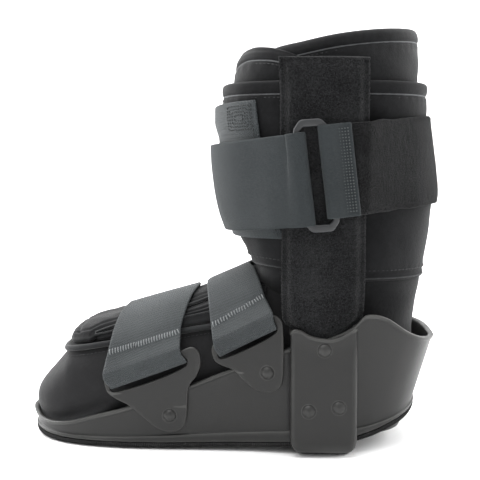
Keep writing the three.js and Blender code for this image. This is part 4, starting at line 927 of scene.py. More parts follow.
def pocket_piece(sign, tag):
    """Box-shaped channel for an upright: rounded corners, wavy rim, turned-under foot."""
    f, b, o, r = POCKET_FRONT, POCKET_BACK, HALF_W, 2.8
    inner, foot, swell, grain = 42.0, 6.5, 0.35, 1.6
    path = [(f, inner), (f, o - r)] + corner(f + r, o - r, r, np.linspace(180, 90, 7)[1:])
    path += [(x, o + swell * math.sin(PI * (x - f) / (b - f))) for x in np.linspace(f + r, b - r, 44)[1:]]
    path += corner(b - r, o - r, r, np.linspace(90, 0, 7)[1:]) + [(b, o - 6), (b, inner)]
    line = []
    for p, q in zip(path[:-1], path[1:]):
        n = max(int(math.dist(p, q) / grain), 1)
        line += [mix(np.array(p), np.array(q), k / n) for k in range(n)]
    line = np.array(line + [np.array(path[-1])])
    way = unit(np.gradient(line, axis=0))
    out = np.column_stack([-way[:, 1], way[:, 0]])
    x = line[:, 0]
    top = pocket_z(x)
    low = np.full(len(x), 2.2)
    for edge in (f, b):
        d = np.clip(1 - np.abs(x - edge) / foot, 0, 1)
        low += foot * 0.9 * (1 - np.sqrt(1 - d * d))
    rows = []

    def row(z, off):
        p = line + out * off
        rows.append(np.column_stack([p[:, 0], sign * p[:, 1], z]))

    for up, off in ((0, -SHELL_WALL), (0, -1.6), (0.3, -0.8), (0.9, -0.25), (1.8, 0)):
        row(low + up, off)
    for t in (0.06, 0.15, 0.3, 0.45, 0.6, 0.75, 0.88):
        row(mix(low + 1.8, top - 3.4, t), 0)
    lip_rows(row, top, POCKET_LIP, ((3.0, 0), (2.4, 0.25), (1.8, POCKET_LIP), (1.1, POCKET_LIP)))
    for t in (0.05, 0.5, 1.0):
        row(mix(top - 1.5, low + 4, t), -SHELL_WALL)
    bag = Bag()
    bag.grid(np.stack(rows, 0).transpose(1, 0, 2), closed_v=True)
    return keep(bag.make(f"pocket_{tag}", SHELL_M, sharp=60), None)


def painted_shade_strip_piece(sign, tag):
    """Dark strip laid on the side wall: painted shade in the gap between the front of the pocket and the side
    wall.
    """
    z = np.linspace(7, 60.5, 40)
    x = np.full(z.shape, POCKET_FRONT - 0.85)
    y = sign * (wall_at(x, z) + 0.04 + 0.02)
    bag = Bag()
    slab(bag, np.stack([np.column_stack([x + d, y, z]) for d in (-0.75, 0.75)], 1), 0.12)
    return keep(bag.make(f"painted_shade_strip_{tag}", RUBBER_M), None)


def outsole_piece():
    """Outsole with fine ribs round its side and grooves under it."""
    n, rib_out, rib_in = 2040, 0.7, -0.5
    loop = spline(_loop_src, n, closed=True)
    z0 = np.full(n, 4.0)
    for _ in range(10):
        z0 = 0.5 * z0 + 0.5 * sole_z(shell_ring(z0, 0.6, loop)[:, 0])
    on = np.arange(n) % 4 < 2
    rib, notch = np.where(on, rib_out, rib_in), np.where(on, 0.0, 1.0)
    rows = []
    # Height over the ground line, distance out, share of the ribs, depth of the notches.
    for dz, out, share, deep in (
            (TREAD, -3.0, 0, 0), (TREAD, 0.4, 0, 0), (TREAD - 0.05, 0.95, 0.25, 0),
            (TREAD - 0.5, 1.15, 0.6, 0), (1.6, 1.15, 1, 0), (0.7, 1.05, 1, 0.5),
            (0.18, 0.8, 1, 0.9), (0.0, 0.2, 0.8, 1.1), (0.0, -3.0, 0.0, 1.1)):
        rows.append(shell_ring(z0 + dz + notch * deep, out + rib * share, loop))
    bag = Bag()
    bag.grid(np.stack(rows, 0).transpose(1, 0, 2), closed_u=True)
    bag.fan(rows[0])
    # Underside: cross grooves between the two edges, following the rocker.
    xs = np.linspace(8, 219, 300)
    groove = np.where(np.arange(300) % 6 < 3, 0.0, 0.9)
    half = np.maximum(_half(xs) - 2.2, 2)
    under = sole_z(xs) + 0.02
    p = [np.column_stack([xs, half * v, under + groove * (abs(v) < 0.99)]) for v in np.linspace(-1, 1, 9)]
    bag.grid(np.stack(p, 1), flip=True)
    return keep(bag.make("tread", RUBBER_M, sharp=35), "outsole")


def pads_piece(sign, tag):
    """Tread pad under a pocket, with the same ribs."""
    f, b, o, r, inner, n = 0.662 * BOOT_L, 0.782 * BOOT_L, HALF_W - 6.5, 5.0, 36.0, 300
    path = [(f, inner), (f, o - r)] + corner(f + r, o - r, r, np.linspace(180, 90, 8)[1:])
    path += corner(b - r, o - r, r, np.linspace(90, 0, 8)) + [(b, inner)]
    line = resample(np.array(path), n)
    way = unit(np.gradient(line, axis=0))
    out = np.column_stack([-way[:, 1], way[:, 0]])
    rib = np.where(np.arange(n) % 4 < 2, 0.5, -0.4)[:, None]
    rows = []
    # Height, distance out, share of the ribs.
    for z, off, share in ((TREAD, -4, 0), (TREAD, 0.0, 0.2), (TREAD - 0.4, 0.4, 0.8), (0.6, 0.4, 1),
                          (0.12, 0.1, 1), (0.02, -0.8, 0.3), (0.02, -4, 0)):
        p = line + out * (off + rib * share)
        rows.append(np.column_stack([p[:, 0], sign * p[:, 1], np.full(n, z)]))
    bag = Bag()
    bag.grid(np.stack(rows, 0).transpose(1, 0, 2))
    bag.fan(rows[-1], flip=True)
    bag.fan(rows[0])
    return keep(bag.make(f"pad_{tag}", RUBBER_M, sharp=35), None)


# ---------------------------------------------------------------- brackets and rivets
def bracket_piece(name, outer, slot, sign, node):
    """Plate bent to the wall, all its edges rounded, cut in narrow strips so that it bends smoothly."""
    data = bpy.data.curves.new(name, "CURVE")
    data.dimensions = "2D"
    data.fill_mode = "BOTH"
    bevel, strip = 0.62, 4.0
    data.extrude = PLATE / 2 - bevel
    data.bevel_depth = bevel
    data.bevel_resolution = 3
    data.offset = -bevel
    for pts, n in ((outer, 150), (slot, 60)):
        p = spline(pts[:, :2], n, closed=True)
        s = data.splines.new("POLY")
        s.points.add(len(p) - 1)
        s.points.foreach_set("co", np.column_stack([p, np.zeros(len(p)), np.ones(len(p))]).ravel())
        s.use_cyclic_u = True
    obj = bpy.data.objects.new(name + "_line", data)
    bpy.context.scene.collection.objects.link(obj)
    bpy.context.view_layer.update()
    deps = bpy.context.evaluated_depsgraph_get()
    mesh = bpy.data.meshes.new_from_object(obj.evaluated_get(deps))
    bpy.data.objects.remove(obj)
    bm = bmesh.new()
    bm.from_mesh(mesh)
    for axis in (0, 1):
        for c in np.arange(outer[:, axis].min() + 3, outer[:, axis].max(), strip):
            co, no = [0, 0, 0], [0, 0, 0]
            co[axis], no[axis] = float(c), 1.0
            everything = bm.verts[:] + bm.edges[:] + bm.faces[:]
            bmesh.ops.bisect_plane(bm, geom=everything, plane_co=co, plane_no=no)
    bmesh.ops.remove_doubles(bm, verts=bm.verts, dist=1e-4)
    bm.to_mesh(mesh)
    bm.free()
    co = np.zeros(len(mesh.vertices) * 3)
    mesh.vertices.foreach_get("co", co)
    co = co.reshape(-1, 3)
    x, z, d = co[:, 0], co[:, 1], co[:, 2]
    e = 0.4
    nx = -(wall_at(x + e, z) - wall_at(x - e, z)) / (2 * e)
    nz = -(wall_at(x, z + e) - wall_at(x, z - e)) / (2 * e)
    y = wall_at(x, z) + (d + PLATE / 2 + GAP) / np.sqrt(1 + nx * nx + nz * nz)
    bag = Bag()
    bag.add(np.column_stack([x, sign * y, z]), [list(q.vertices) for q in mesh.polygons])
    bpy.data.meshes.remove(mesh)
    obj = bag.make(name, PLATE_M, sharp=40)
    return keep(obj, node)


# Radius and height of a rivet's head and of the ring round it.
RIVET = table([(0.0, 2.25), (0.7, 2.2), (1.5, 2.02), (2.3, 1.68), (3.0, 1.2), (3.45, 0.75), (3.62, 0.45),
               (3.7, 0.2), (3.95, 0.28), (4.15, 0.3), (4.35, 0.2), (4.45, 0.0), (4.45, -0.5)])


def rivet_piece(name, x, z, face, tilt, sign, node):
    """Domed head in a shallow ring."""
    sides = 40
    a = np.linspace(0, 2 * PI, sides, endpoint=False)
    r, h = RIVET[1:, 0], RIVET[1:, 1]
    n = unit(np.array([tilt[0], 1.0, tilt[1]]))
    s = unit(np.cross(n, UP))
    t = np.cross(s, n)
    ring = np.cos(a)[:, None, None] * s + np.sin(a)[:, None, None] * t
    p = np.array([x, face, z]) + r[None, :, None] * ring + h[None, :, None] * n
    tip = np.array([x, face, z]) + RIVET[0, 1] * n
    p[..., 1] *= sign
    tip[1] *= sign
    bag = Bag()
    bag.grid(p, closed_u=True)
    bag.add(np.vstack([p[:, 0], tip]), [[sides, k, (k + 1) % sides] for k in range(sides)])
    return keep(bag.make(name, RIVET_M, weld=0.001), node)


# ---------------------------------------------------------------- ring
def ring_piece():
    """Rectangular ring with cut corners, a little thicker at its two ends."""
    w, h = RING_W / 2 - RING_BAR / 2, RING_H / 2 - RING_END / 2
    c, r, grow_by = 3.6, 0.75, 0.35
    quarter = [(-w, -h + c), (-w + 0.9 * c, -h), (w - 0.9 * c, -h), (w, -h + c)]
    corners = np.array(quarter + [(-x, -y) for x, y in quarter])
    line = []
    for k, p in enumerate(corners):
        to_last, to_next = corners[k - 1] - p, corners[(k + 1) % 8] - p
        a, b = unit(to_last), unit(to_next)
        line.append(p + 0.75 * a * min(1.6, 0.4 * np.linalg.norm(to_last)))
        line.append(p + 0.22 * (a + b))
        line.append(p + 0.75 * b * min(1.6, 0.4 * np.linalg.norm(to_next)))
    line = resample(np.vstack([line, line[:1]]), 220, closed=True)
    way = unit(np.roll(line, -1, 0) - np.roll(line, 1, 0))
    out = np.column_stack([way[:, 1], -way[:, 0]])
    hw = RING_BAR / 2 + grow_by * np.clip((np.abs(line[:, 1]) - h + 2.0) / 2.0, 0, 1)
    ht = RING_T / 2
    p = []
    for sx, sy, first in ((1, -1, -90), (1, 1, 0), (-1, 1, 90), (-1, -1, 180)):
        for a in np.radians(first + np.arange(0, 91, 30)):
            off = sx * (hw - r) + r * math.cos(a)
            q = line + out * off[:, None]
            z = RING_UP + q[:, 1]
            y = -(up_side(z) + UP_HALF + RING_REST + ht + sy * (ht - r) + r * math.sin(a))
            p.append(np.column_stack([ring_at(z) + q[:, 0], y, z + RING_TILT * q[:, 0]]))
    bag = Bag()
    bag.grid(np.stack(p, 1), closed_u=True, closed_v=True)
    return keep(bag.make("ring_frame", RING_M, sharp=50), "ring")


# ---------------------------------------------------------------- covered uprights
def upright_piece(sign, tag, seed):
    """Sewn fleece sleeve over a flat bar: full in the middle, flat sewn edges, top folded over."""
    z = np.concatenate([np.linspace(22, 74, 16), np.linspace(77, 214, 56), np.linspace(215.5, 220.6, 6)])
    v = np.linspace(0, 1, 34)
    a, b, s = up_front(z), up_back(z), up_side(z)
    wob = 0.35 * np.sin(z / 17.0) + 0.2 * np.sin(z / 6.3 + 1)
    x = mix((a + wob * (z > 80))[:, None], (b + 0.25 * np.sin(z / 13.0))[:, None], v[None])
    w = (b - a)[:, None] * v[None]
    edge = np.minimum(w, (b - a)[:, None] - w)
    half = mix(UP_EDGE * 0.75, UP_HALF, ease(edge, 1.2, 6.5)) - swell(edge, 0.55, 2.6, 0.7)
    half = half * mix(0.42, 1.0, ease(z, 220.8, 213.5)[:, None])
    half = half - swell(z, 0.5, 206.8, 1.0)[:, None] * (edge > 2.5)
    mid = np.stack([x, np.broadcast_to(s[:, None], x.shape), np.broadcast_to(z[:, None], x.shape)], -1)
    off = np.stack([np.zeros_like(x), half, np.zeros_like(x)], -1)
    outer, inner = mid + off, mid - off
    outer[..., 1] += ripple(outer, 0.16, 9.0, 5) * (edge > 1.5) + ripple(outer, 0.10, 3.2, 6)
    outer[..., 2] += (0.7 * np.sin(x / 9.0) - 0.05 * (x - 174)) * ease(z, 196, 221)[:, None] * 0.6
    outer[..., 1] *= sign
    inner[..., 1] *= sign
    # One closed loop round the section, thin at both sewn edges and shut at both ends.
    face = np.concatenate([outer, inner[:, ::-1]], 1)
    back = np.concatenate([inner, outer[:, ::-1]], 1)
    shut = 0.5 * (face[[0, -1]] + back[[0, -1]])
    shut[1, :, 2] += 0.7
    bag = Bag()
    bag.grid(np.concatenate([shut[:1], face, shut[1:]], 0), closed_v=True)
    obj = bag.make(f"sleeve_{tag}", FLEECE_M, weld=0.002)
    closed = np.concatenate([face, face[:, :1]], 1)
    way = normals(closed)
    if (way[..., 1] * (closed - closed.mean((0, 1)))[..., 1]).sum() < 0:
        way = -way
    pile_piece(f"sleeve_{tag}_pile", closed, way, 15000, 0.85, seed, PILE_M)
    return keep(obj, f"upright_{tag}")


# ---------------------------------------------------------------- pile
def pile_piece(name, p, n, count, length, seed, material):
    """Short fibres of brushed cloth, each a closed needle that starts in the cloth."""
    rng = np.random.default_rng(seed)
    spread, r = 0.9, 0.07
    nv = p.shape[1]
    e1, e2 = np.diff(p, axis=0)[:, :-1], np.diff(p, axis=1)[:-1]
    size = np.linalg.norm(np.cross(e1, e2), axis=-1)
    odds = np.cumsum(size.ravel()) / size.sum()
    cell = np.searchsorted(odds, rng.random(count))
    i, j = cell // (nv - 1), cell % (nv - 1)
    a, b = rng.random(count)[:, None], rng.random(count)[:, None]
    root = p[i, j] + a * (p[i + 1, j] - p[i, j]) + b * (p[i, j + 1] - p[i, j])
    up = n[i, j]
    swirl = ripple(root, 1.0, 9.0, seed) * 2.2 + rng.normal(0, 0.8, count)
    t1 = unit(p[i + 1, j] - p[i, j])
    t2 = unit(np.cross(up, t1))
    lean = np.cos(swirl)[:, None] * t1 + np.sin(swirl)[:, None] * t2
    long = length * rng.uniform(0.5, 1.25, count)[:, None]
    tip = root + long * unit(up * rng.uniform(0.35, 1.0, count)[:, None] + lean * spread)
    root = root - 0.25 * up
    side = unit(np.cross(lean, up))
    q = np.stack([root + r * side, root - r * side, root + r * 1.4 * unit(lean), tip], 1).reshape(-1, 3)
    k = 4 * np.arange(count)[:, None, None]
    faces = (k + np.array([[0, 1, 3], [1, 2, 3], [2, 0, 3], [0, 2, 1]])[None]).reshape(-1, 3)
    bag = Bag()
    bag.add(q, faces.tolist())
    return keep(bag.make(name, material), None)


# ---------------------------------------------------------------- soft boot


def foot_piece():
    """Foot of the soft boot: smooth toe box, a few drag lines, sides running down into the shell."""
    xs = np.concatenate([3.4 + 14 * (1 - np.cos(np.linspace(0.12, PI / 2, 14))), np.linspace(19, 172, 110)])
    sides = 96
    t = np.linspace(-PI, PI, sides, endpoint=False)
    p = foot_base(t[None, :], xs[:, None])
    n = unit(foot_point(t[None, :], xs[:, None], 1.0) - p)
    amp = ripple(p, 0.35, 38.0, 11) + ripple(p, 0.14, 14.0, 12)
    p = p + n * (amp * ease(xs, 8, 26)[:, None])[..., None]
    rim = height_along(rim_z, 0)
    ring = shell_ring(rim - 1.0, -SHELL_WALL - 0.3)
    hub = np.array([60.0, 0.0])
    spin = np.arctan2(ring[:, 1], hub[0] - ring[:, 0])
    order = np.argsort(spin)
    reach = np.linalg.norm(ring[:, :2] - hub, axis=1)[order]
    level = ring[order, 2]
    flat = p[..., :2] - hub
    here = np.arctan2(flat[..., 1], -flat[..., 0])
    far = np.interp(here, spin[order], reach, period=2 * PI)
    edge = np.interp(here, spin[order], level, period=2 * PI)
    now = np.linalg.norm(flat, axis=-1)
    pull = ease(edge + 7.0 - p[..., 2], 0, 7.0) * ease(p[..., 2], edge - 9, edge - 3)
    pull = pull * (1 - ease(p[..., 0], 48, 60))
    grown = mix(now, np.maximum(now, far), pull) / np.maximum(now, 1e-6)
    p[..., :2] = hub + flat * grown[..., None]
    nose = p[0].mean(0) - [0.9, 0, 0]
    bag = Bag()
    bag.grid(p, closed_v=True)
    bag.add(np.vstack([p[0], nose]), [[sides, (k + 1) % sides, k] for k in range(sides)])
    bag.fan(p[-1])
    return keep(bag.make("toe_box", TOE_M, weld=0.01), None)


# Height of the soft boot's top edge behind the front flap.
rear_top = curve(np.array([0.51, 0.563, 0.6, 0.663, 0.752, 0.845, 0.91, 0.96]) * BOOT_L,
                 np.array([0.84, 0.893, 0.921, 0.9335, 0.9505, 0.9615, 0.967, 0.972]) * BOOT_H)
SEAM_STITCH, HEM_STITCH, BINDING_STITCH = (2.6, 1.9, 0.26), (2.6, 1.9, 0.24), (2.4, 1.7, 0.24)
CORD_R = 0.42
SHEET_WELD = 0.002


def leg_top(turn):
    return rear_top(leg_point(turn, 220.0, 0)[:, 0]) - 1.2


def leg_way(turn, z):
    return unit(leg_point(turn, z, 1.0) - leg_point(turn, z, 0))


def cord(name, path, material, closed=False):
    """Thin cord in a sewn line."""
    bag = Bag()
    tube(bag, path, CORD_R, 8, closed)
    keep(bag.make(name, material), None)


def sewn(name, *runs):
    """Dark stitches: for each run its path, its outward way, and pitch, length and radius of a stitch."""
    bag = Bag()
    for path, way, form in runs:
        stitches(bag, path, way, *form)
    keep(bag.make(name, STITCH_M), None)


def leg_piece():
    """Leg of the soft boot: one padded wall, open at the top, hollow inside."""
    t = np.linspace(-PI, PI, 150, endpoint=False)
    top = leg_top(t)
    rows = []
    for s in np.concatenate([np.linspace(0, 0.9, 60), np.linspace(0.912, 1, 16)]):
        z = mix(26.0, top, s)
        p = leg_point(t, z, 0)
        d = top - z
        form = 0.5 * ease(z, 30, 60) + swell(d, 0.7, 14, 9.0)
        form = form + ease(np.cos(t), 0.45, 0.95) * swell(z, 6.5, 96, 8.0)
        form = form + swell(d, -0.9, 5.2, 0.8) + swell(d, 0.35, 2.4, 1.9)
        form = form + np.sin(t * 46) * swell(d, 0.16, 7.6, 2.6)
        w = ripple(p, 0.5, 46.0, 21) + ripple(p, 0.22, 15.0, 22) * ease(d, 4, 12)
        rows.append(p + leg_way(t, z) * (form + w * ease(d, 3, 10))[:, None])
    mid = leg_point(t, top, -LINER_WALL / 2)
    n = leg_way(t, top)
    r = LINER_WALL / 2 + 0.3
    for a in np.radians(np.linspace(15, 165, 9)):
        rows.append(mid + n * (r * math.cos(a)) + UP * 2.4 * math.sin(a))
    for s in np.linspace(0, 1, 30):
        z = mix(top, 30.0, s)
        q = leg_point(t, z, -LINER_WALL)
        q += n * (ripple(q, 0.4, 40.0, 24) + swell(top - z, -0.5, 6, 1.0))[:, None]
        rows.append(q)
    bag = Bag()
    bag.grid(np.stack(rows, 0).transpose(1, 0, 2), closed_u=True)
    obj = bag.make("leg_pad", CLOTH_M)
    return keep(obj, "liner")


def leg_trim():
    """Seam cord, pale as a painted highlight, and stitches under the top roll of the soft boot."""
    t = np.linspace(math.radians(44), 2 * PI - math.radians(44), 260)
    t = np.where(t > PI, t - 2 * PI, t)
    top = leg_top(t)
    cord("leg_seam_cord", leg_point(t, top - 5.3, 0.05), SEAM_HIGHLIGHT_CORD_M)
    sewn("leg_stitches", (leg_point(t, top - 7.0, 0.25), leg_way(t, top), SEAM_STITCH))


FLAP_SPAN = math.radians(72)
flap_line = curve(np.radians([0, 12, 24, 36, 50, 60, 66, 72]),
                  np.array([0.898, 0.909, 0.919, 0.9235, 0.9215, 0.915, 0.909, 0.900]) * BOOT_H)


def flap_full(turn):
    """Thickness of the front flap, thin at its two free edges."""
    return mix(LEG_FLAP, 1.2, ease(np.abs(turn) / FLAP_SPAN, 0.5, 1))


def front_flap_piece():
    """Front leg flap: full in the middle, rolled top edge with a sewn line under it."""
    turns = np.linspace(-FLAP_SPAN, FLAP_SPAN, 96)
    top, thick = flap_line(np.abs(turns)), flap_full(turns)
    k = thick / LEG_FLAP
    outer, inner = [], []
    for s in np.concatenate([np.linspace(0, 0.86, 40), np.linspace(0.87, 1, 26)]):
        z = mix(0.455 * BOOT_H, top, s)
        d = top - z
        base = leg_point(turns, z, GAP)
        form = swell(d, 0.9, 15, 9.0) + swell(d, -1.5, 6.0, 0.9)
        form = form + np.sin(turns * 40) * swell(d, 0.16, 8.6, 2.6)
        form = k * (form + ripple(base, 0.45, 36, 31)) - 0.28 * thick * ease(2.2 - d, 0, 2.2)
        outer.append(base + leg_way(turns, z) * (thick + form)[:, None])
        inner.append(base)
    n, r = leg_way(turns, top), (0.36 * thick)[:, None]
    c = leg_point(turns, top, GAP) + n * r
    mid = [c + n * r * math.cos(a) + UP * np.minimum(1.6, r) * math.sin(a) for a in np.radians([45, 90, 135])]
    grid = np.stack(outer + mid + inner[::-1], 0).transpose(1, 0, 2)
    bag = Bag()
    bag.grid(grid, closed_v=True)
    bag.fan(grid[0])
    bag.fan(grid[-1])
    obj = bag.make("front_flap_pad", CLOTH_M)
    keep(obj, "front_flap")
    t = turns[3:-3]
    z = flap_line(np.abs(t)) - 6.1
    off = GAP + flap_full(t) - 0.75 * flap_full(t) / LEG_FLAP
    # Pale seam cord: a painted highlight line under the flap's rolled top.
    cord("flap_seam_cord", leg_point(t, z, off + 0.15), SEAM_HIGHLIGHT_CORD_M)
    sewn("flap_stitches", (leg_point(t, z - 1.7, off + 0.72), leg_way(t, z), SEAM_STITCH))


WRAP_ROLL = 7.2


def wrap_skin(t, z):
    """Outer face of the calf wrap with its top roll, hem and soft dents."""
    d, h = WRAP_TOP - z, z - wrap_hem(t)
    p = wrap_outer(t, z)
    form = swell(d, -1.15, WRAP_ROLL, 0.75) + swell(d, 0.5, 3.4, 2.4) + swell(d, 0.55, 13, 6.0)
    form = form + swell(h, -0.75, 4.2, 0.6) + swell(h, 0.25, 1.9, 1.3)
    form = form + (ripple(p, 0.42, 44, 41) + ripple(p, 0.2, 17, 42)) * ease(d, 5, 14) * ease(h, 3, 10)
    form = form + np.sin(t * 52) * (swell(d, 0.16, 8.8, 2.4) + swell(h, 0.112, 6.2, 2.0))
    fold = ease(np.cos(t), 0.2, 0.9) * swell(z - 5 * np.sin(2 * t), -0.7, 112, 3.2)
    return wrap_outer(t, z, form + fold)


def halfway(inner, outer):
    """Middle, half distance and outward way between two faces."""
    return 0.5 * (inner + outer), 0.5 * np.linalg.norm(outer - inner, axis=-1)[:, None], unit(outer - inner)


def wrap_piece():
    """Calf wrap: one closed padded band, its hem and its top roll rounded."""
    t = np.linspace(-PI, PI, 200, endpoint=False)
    low = wrap_hem(t)
    rows = [wrap_inner(t, low + 0.6)]
    mid, half, n = halfway(wrap_inner(t, low), wrap_outer(t, low))
    for a in np.radians([-150, -120, -90, -60, -30]):
        rows.append(mid + n * half * math.cos(a) + UP * 1.2 * (1 + math.sin(a)))
    for start, end, count in ((0, 0.16, 18), (0.175, 0.86, 44), (0.87, 0.985, 22)):
        for s in np.linspace(start, end, count):
            rows.append(wrap_skin(t, mix(low + 1.4, WRAP_TOP, s)))
    mid, half, n = halfway(wrap_inner(t, WRAP_TOP - 1.0), rows[-1])
    for a in np.radians(np.linspace(20, 160, 9)):
        q = mid + n * half * math.cos(a)
        q[:, 2] = WRAP_TOP - 1.6 + 1.9 * math.sin(a)
        rows.append(q)
    for s in np.linspace(0, 1, 12):
        rows.append(wrap_inner(t, mix(WRAP_TOP - 1.8, low + 1.2, s)))
    bag = Bag()
    bag.grid(np.stack(rows, 0).transpose(1, 0, 2), closed_u=True, closed_v=True)
    obj = bag.make("calf_wrap_pad", WRAP_M)
    keep(obj, "calf_wrap")
    t = np.linspace(-PI, PI, 360, endpoint=False)
    z, hem = np.full(t.shape, WRAP_TOP - WRAP_ROLL), wrap_hem(t)
    # Pale seam and hem cords: painted highlight lines at the top roll and the hem.
    cord("wrap_seam_cord", wrap_outer(t, z, -0.55), SEAM_HIGHLIGHT_CORD_M, True)
    cord("wrap_hem_cord", wrap_outer(t, hem + 1.5, 0.1), HEM_HIGHLIGHT_CORD_M, True)
    n = unit(wrap_outer(t, z) - wrap_inner(t, z))
    sewn("wrap_stitches", (wrap_outer(t, z - 1.8, 0.02), n, SEAM_STITCH),
         (wrap_outer(t, hem + 6.0, -0.02), n, HEM_STITCH))


def panel_lift(across, up):
    """Distance by which the panel stands off the wrap beyond the strap's edges."""
    return 2.6 * (1 - ease(across, 0.25, 0.95)) * (ease(up, 0.74, 0.9) + 0.5 * ease(0.1 - up, 0, 0.1))


def web(name, p, thick, flow, material):
    """Closed sheet of webbing or fleece round its middle surface."""
    bag = Bag()
    slab(bag, p, thick, flow)
    return bag.make(name, material, weld=SHEET_WELD)


def metres(*lengths):
    return tuple(round(float(v) / 1000, 4) for v in lengths)


def panel_piece():
    """Closure panel: ribbed webbing, its far edge rolled and sewn."""
    up = np.linspace(0, 1, 110)[None, :]
    across = np.linspace(0, 1, 120)[:, None]
    mid = panel_point(across, up, PANEL / 2 + 0.1 + panel_lift(across, up))
    n = unit(panel_point(across, up, 2.0) - panel_point(across, up, 0))
    w = flow_of(mid)
    rib = 0.13 * np.sin(2 * PI * w[..., 1] / 2.1)
    lift = swell(across, 0.5, 0.075, 0.028) + swell(across, 0.4, 0.02, 0.02)
    groove = swell(across, -0.35, 0.12, 0.008) + swell(across, -0.35, 0.045, 0.006)
    mid = mid + n * (rib * (across > 0.14) * 0.6 + lift + groove)[..., None]
    obj = web("closure_panel_web", mid, PANEL * 0.92, w, PANEL_M)
    return keep(obj, "closure_panel")


def panel_trim():
    """Border stitches of the panel and the nested boxes sewn near its top."""
    bag = Bag()

    def run(points, pitch):
        a, u = np.array(points, float).T
        path = panel_point(a, u, PANEL + 0.08 + panel_lift(a, u))
        n = unit(panel_point(a, u, 4.0) - panel_point(a, u, 0))
        stitches(bag, path, n, pitch, pitch * 0.74, 0.28)

    v = np.linspace(0.01, 0.99, 80)
    for a in (0.045, 0.12, 0.965):
        run(np.column_stack([np.full(v.shape, a), v]), 2.3)
    t = np.linspace(0, 1, 14)[:, None]
    for k in range(4):
        lo, hi, left, right = 0.80 + 0.022 * k, 0.975 - 0.022 * k, 0.70 + 0.03 * k, 0.95 - 0.025 * k
        box = np.array([(left, lo), (right, lo), (right, hi), (left, hi), (left, lo)])
        for p, q in zip(box[:-1], box[1:]):
            run(mix(p, q, t), 1.5)
    return keep(bag.make("panel_stitches", STITCH_M), None)


# ---------------------------------------------------------------- leg straps
LEVELS = np.linspace(0, 1, 27)
MIDDLE = len(LEVELS) // 2


def even_out(points, times):
    """Smooths a run of points, its ends kept."""
    p = np.array(points)
    for _ in range(times):
        p[1:-1] = 0.25 * p[:-2] + 0.5 * p[1:-1] + 0.25 * p[2:]
    return p


def strap_grid(path_of, count, times):
    """Grid [along, level] of even points along a strap's run at each level, smoothed a few times."""
    return even_out(np.stack([resample(np.array(path_of(v)), count) for v in LEVELS], 1), times)


def front_strap_piece():
    """Front leg strap: from the far side round the front, through the ring and back over itself."""
    low = STRAP_GAP + WEBBING / 2
    over = low + WEBBING + STRAP_GAP
    start = math.radians(-92)

    def path(v):
        level = front_level(v)
        edge, flat = corner_turn(0, level), corner_turn(1, level)
        turns = np.concatenate([np.linspace(start, -edge, 16), np.linspace(-edge, edge, 90)[1:], [flat]])
        run = [*even_out([strap_point(t, low, level) for t in turns], 14)]
        back = [*even_out([strap_point(t, over, level) for t in turns[14:][::-1]], 14)]
        settle = flat_point(-RING_W / 2 - 5, over + 1.1, level)
        return run + bar_loop(-1, level, WEBBING) + [settle] + back

    p = strap_grid(path, 420, 4)
    n = normals(p)
    w = flow_of(p)
    rib = 0.05 * np.sin(2 * PI * w[..., 1] / 2.0)
    sag = ripple(p, 0.18, 60, 51)
    p = p + n * (rib + sag)[..., None]
    obj = web("front_strap_web", p, WEBBING * 0.9, w, WEB_M)
    metres(length_of(p[:, MIDDLE]), length_of(p[200]))
    return keep(obj, "leg_strap_front")


def rear_strap_piece():
    """Rear leg strap of brushed fleece, from the near upright round the back to the far one."""
    flat_out = STRAP_GAP + FLEECE / 2
    round_out = 0.8 + FLEECE / 2

    def path(v):
        level = rear_level(v)
        flat, edge = corner_turn(2, level), corner_turn(3, level)
        pts = [flat_point(RING_W / 2 + 6.4, flat_out, level), strap_point(flat, flat_out, level)]
        for t in np.linspace(edge, 2 * PI - edge, 110):
            pts.append(strap_point(t, round_out, level))
        pts.append(strap_point(2 * PI - flat, flat_out, level))
        pts.append(strap_point(math.radians(266), flat_out, level))
        return pts

    p = strap_grid(path, 260, 3)
    n = normals(p)
    p = p + n * (ripple(p, 0.3, 42, 55) + ripple(p, 0.05, 5, 56))[..., None]
    w = flow_of(p)
    edge = np.minimum(w[..., 1], w[..., 1].max() - w[..., 1])
    thick = FLEECE * mix(0.62, 1.0, ease(edge, 0.4, 3.4))
    p[..., 2] += ripple(p, 0.25, 11, 57) * np.exp(-(edge / 1.5) ** 2)
    obj = web("rear_strap_fleece", p, thick, w, FLEECE_STRAP_M)
    metres(length_of(p[:, MIDDLE]), length_of(p[130]))
    keep(obj, "leg_strap_rear")
    out = n if (n * (p - p.mean((0, 1))))[..., :2].sum() > 0 else -n
    return pile_piece("rear_strap_pile", p + out * (FLEECE / 2 - 0.1), out, 20000, 0.8, 83, PILE_M)


def tab_piece():
    """Tab of webbing that holds the ring to the rear strap, with its rows of stitches."""
    low = STRAP_GAP + TAB / 2
    over = STRAP_GAP + FLEECE + STRAP_GAP + TAB / 2

    def path(v):
        level = rear_level(v)
        pts = [flat_point(RING_W / 2 + 5.8, low, level)] + bar_loop(1, level, TAB)
        pts += [flat_point(RING_W / 2 + 5, over + 0.8, level), flat_point(RING_W / 2 + 8, over, level),
                flat_point(RING_W / 2 + 11.4, over, level)]
        return pts

    p = strap_grid(path, 90, 3)
    w = flow_of(p)
    n = normals(p)
    p = p + n * (0.05 * np.sin(2 * PI * w[..., 1] / 2.0))[..., None]
    obj = web("ring_tab_web", p, TAB * 0.9, w, WEB_M)
    metres(length_of(p[:, MIDDLE]), length_of(p[40]))
    keep(obj, "ring_tab")
    bag = Bag()
    for off in (3.4, 5.0, 6.6, 8.2, 9.8):
        out = over + TAB / 2 + (0.25 if off < 6 else 0.0)
        row = [flat_point(RING_W / 2 + off, out, rear_level(v)) for v in np.linspace(0.03, 0.97, 40)]
        stitches(bag, row, np.array([0, -1.0, 0]), 1.62, 0.7, 0.36, lift=0.15)
    return keep(bag.make("tab_stitches", TAB_THREAD_M), None)


# ---------------------------------------------------------------- foot flaps, binding and straps
def bind_up(x):
    return 0.2134 * BOOT_H + 0.19 * (x - 24.4)


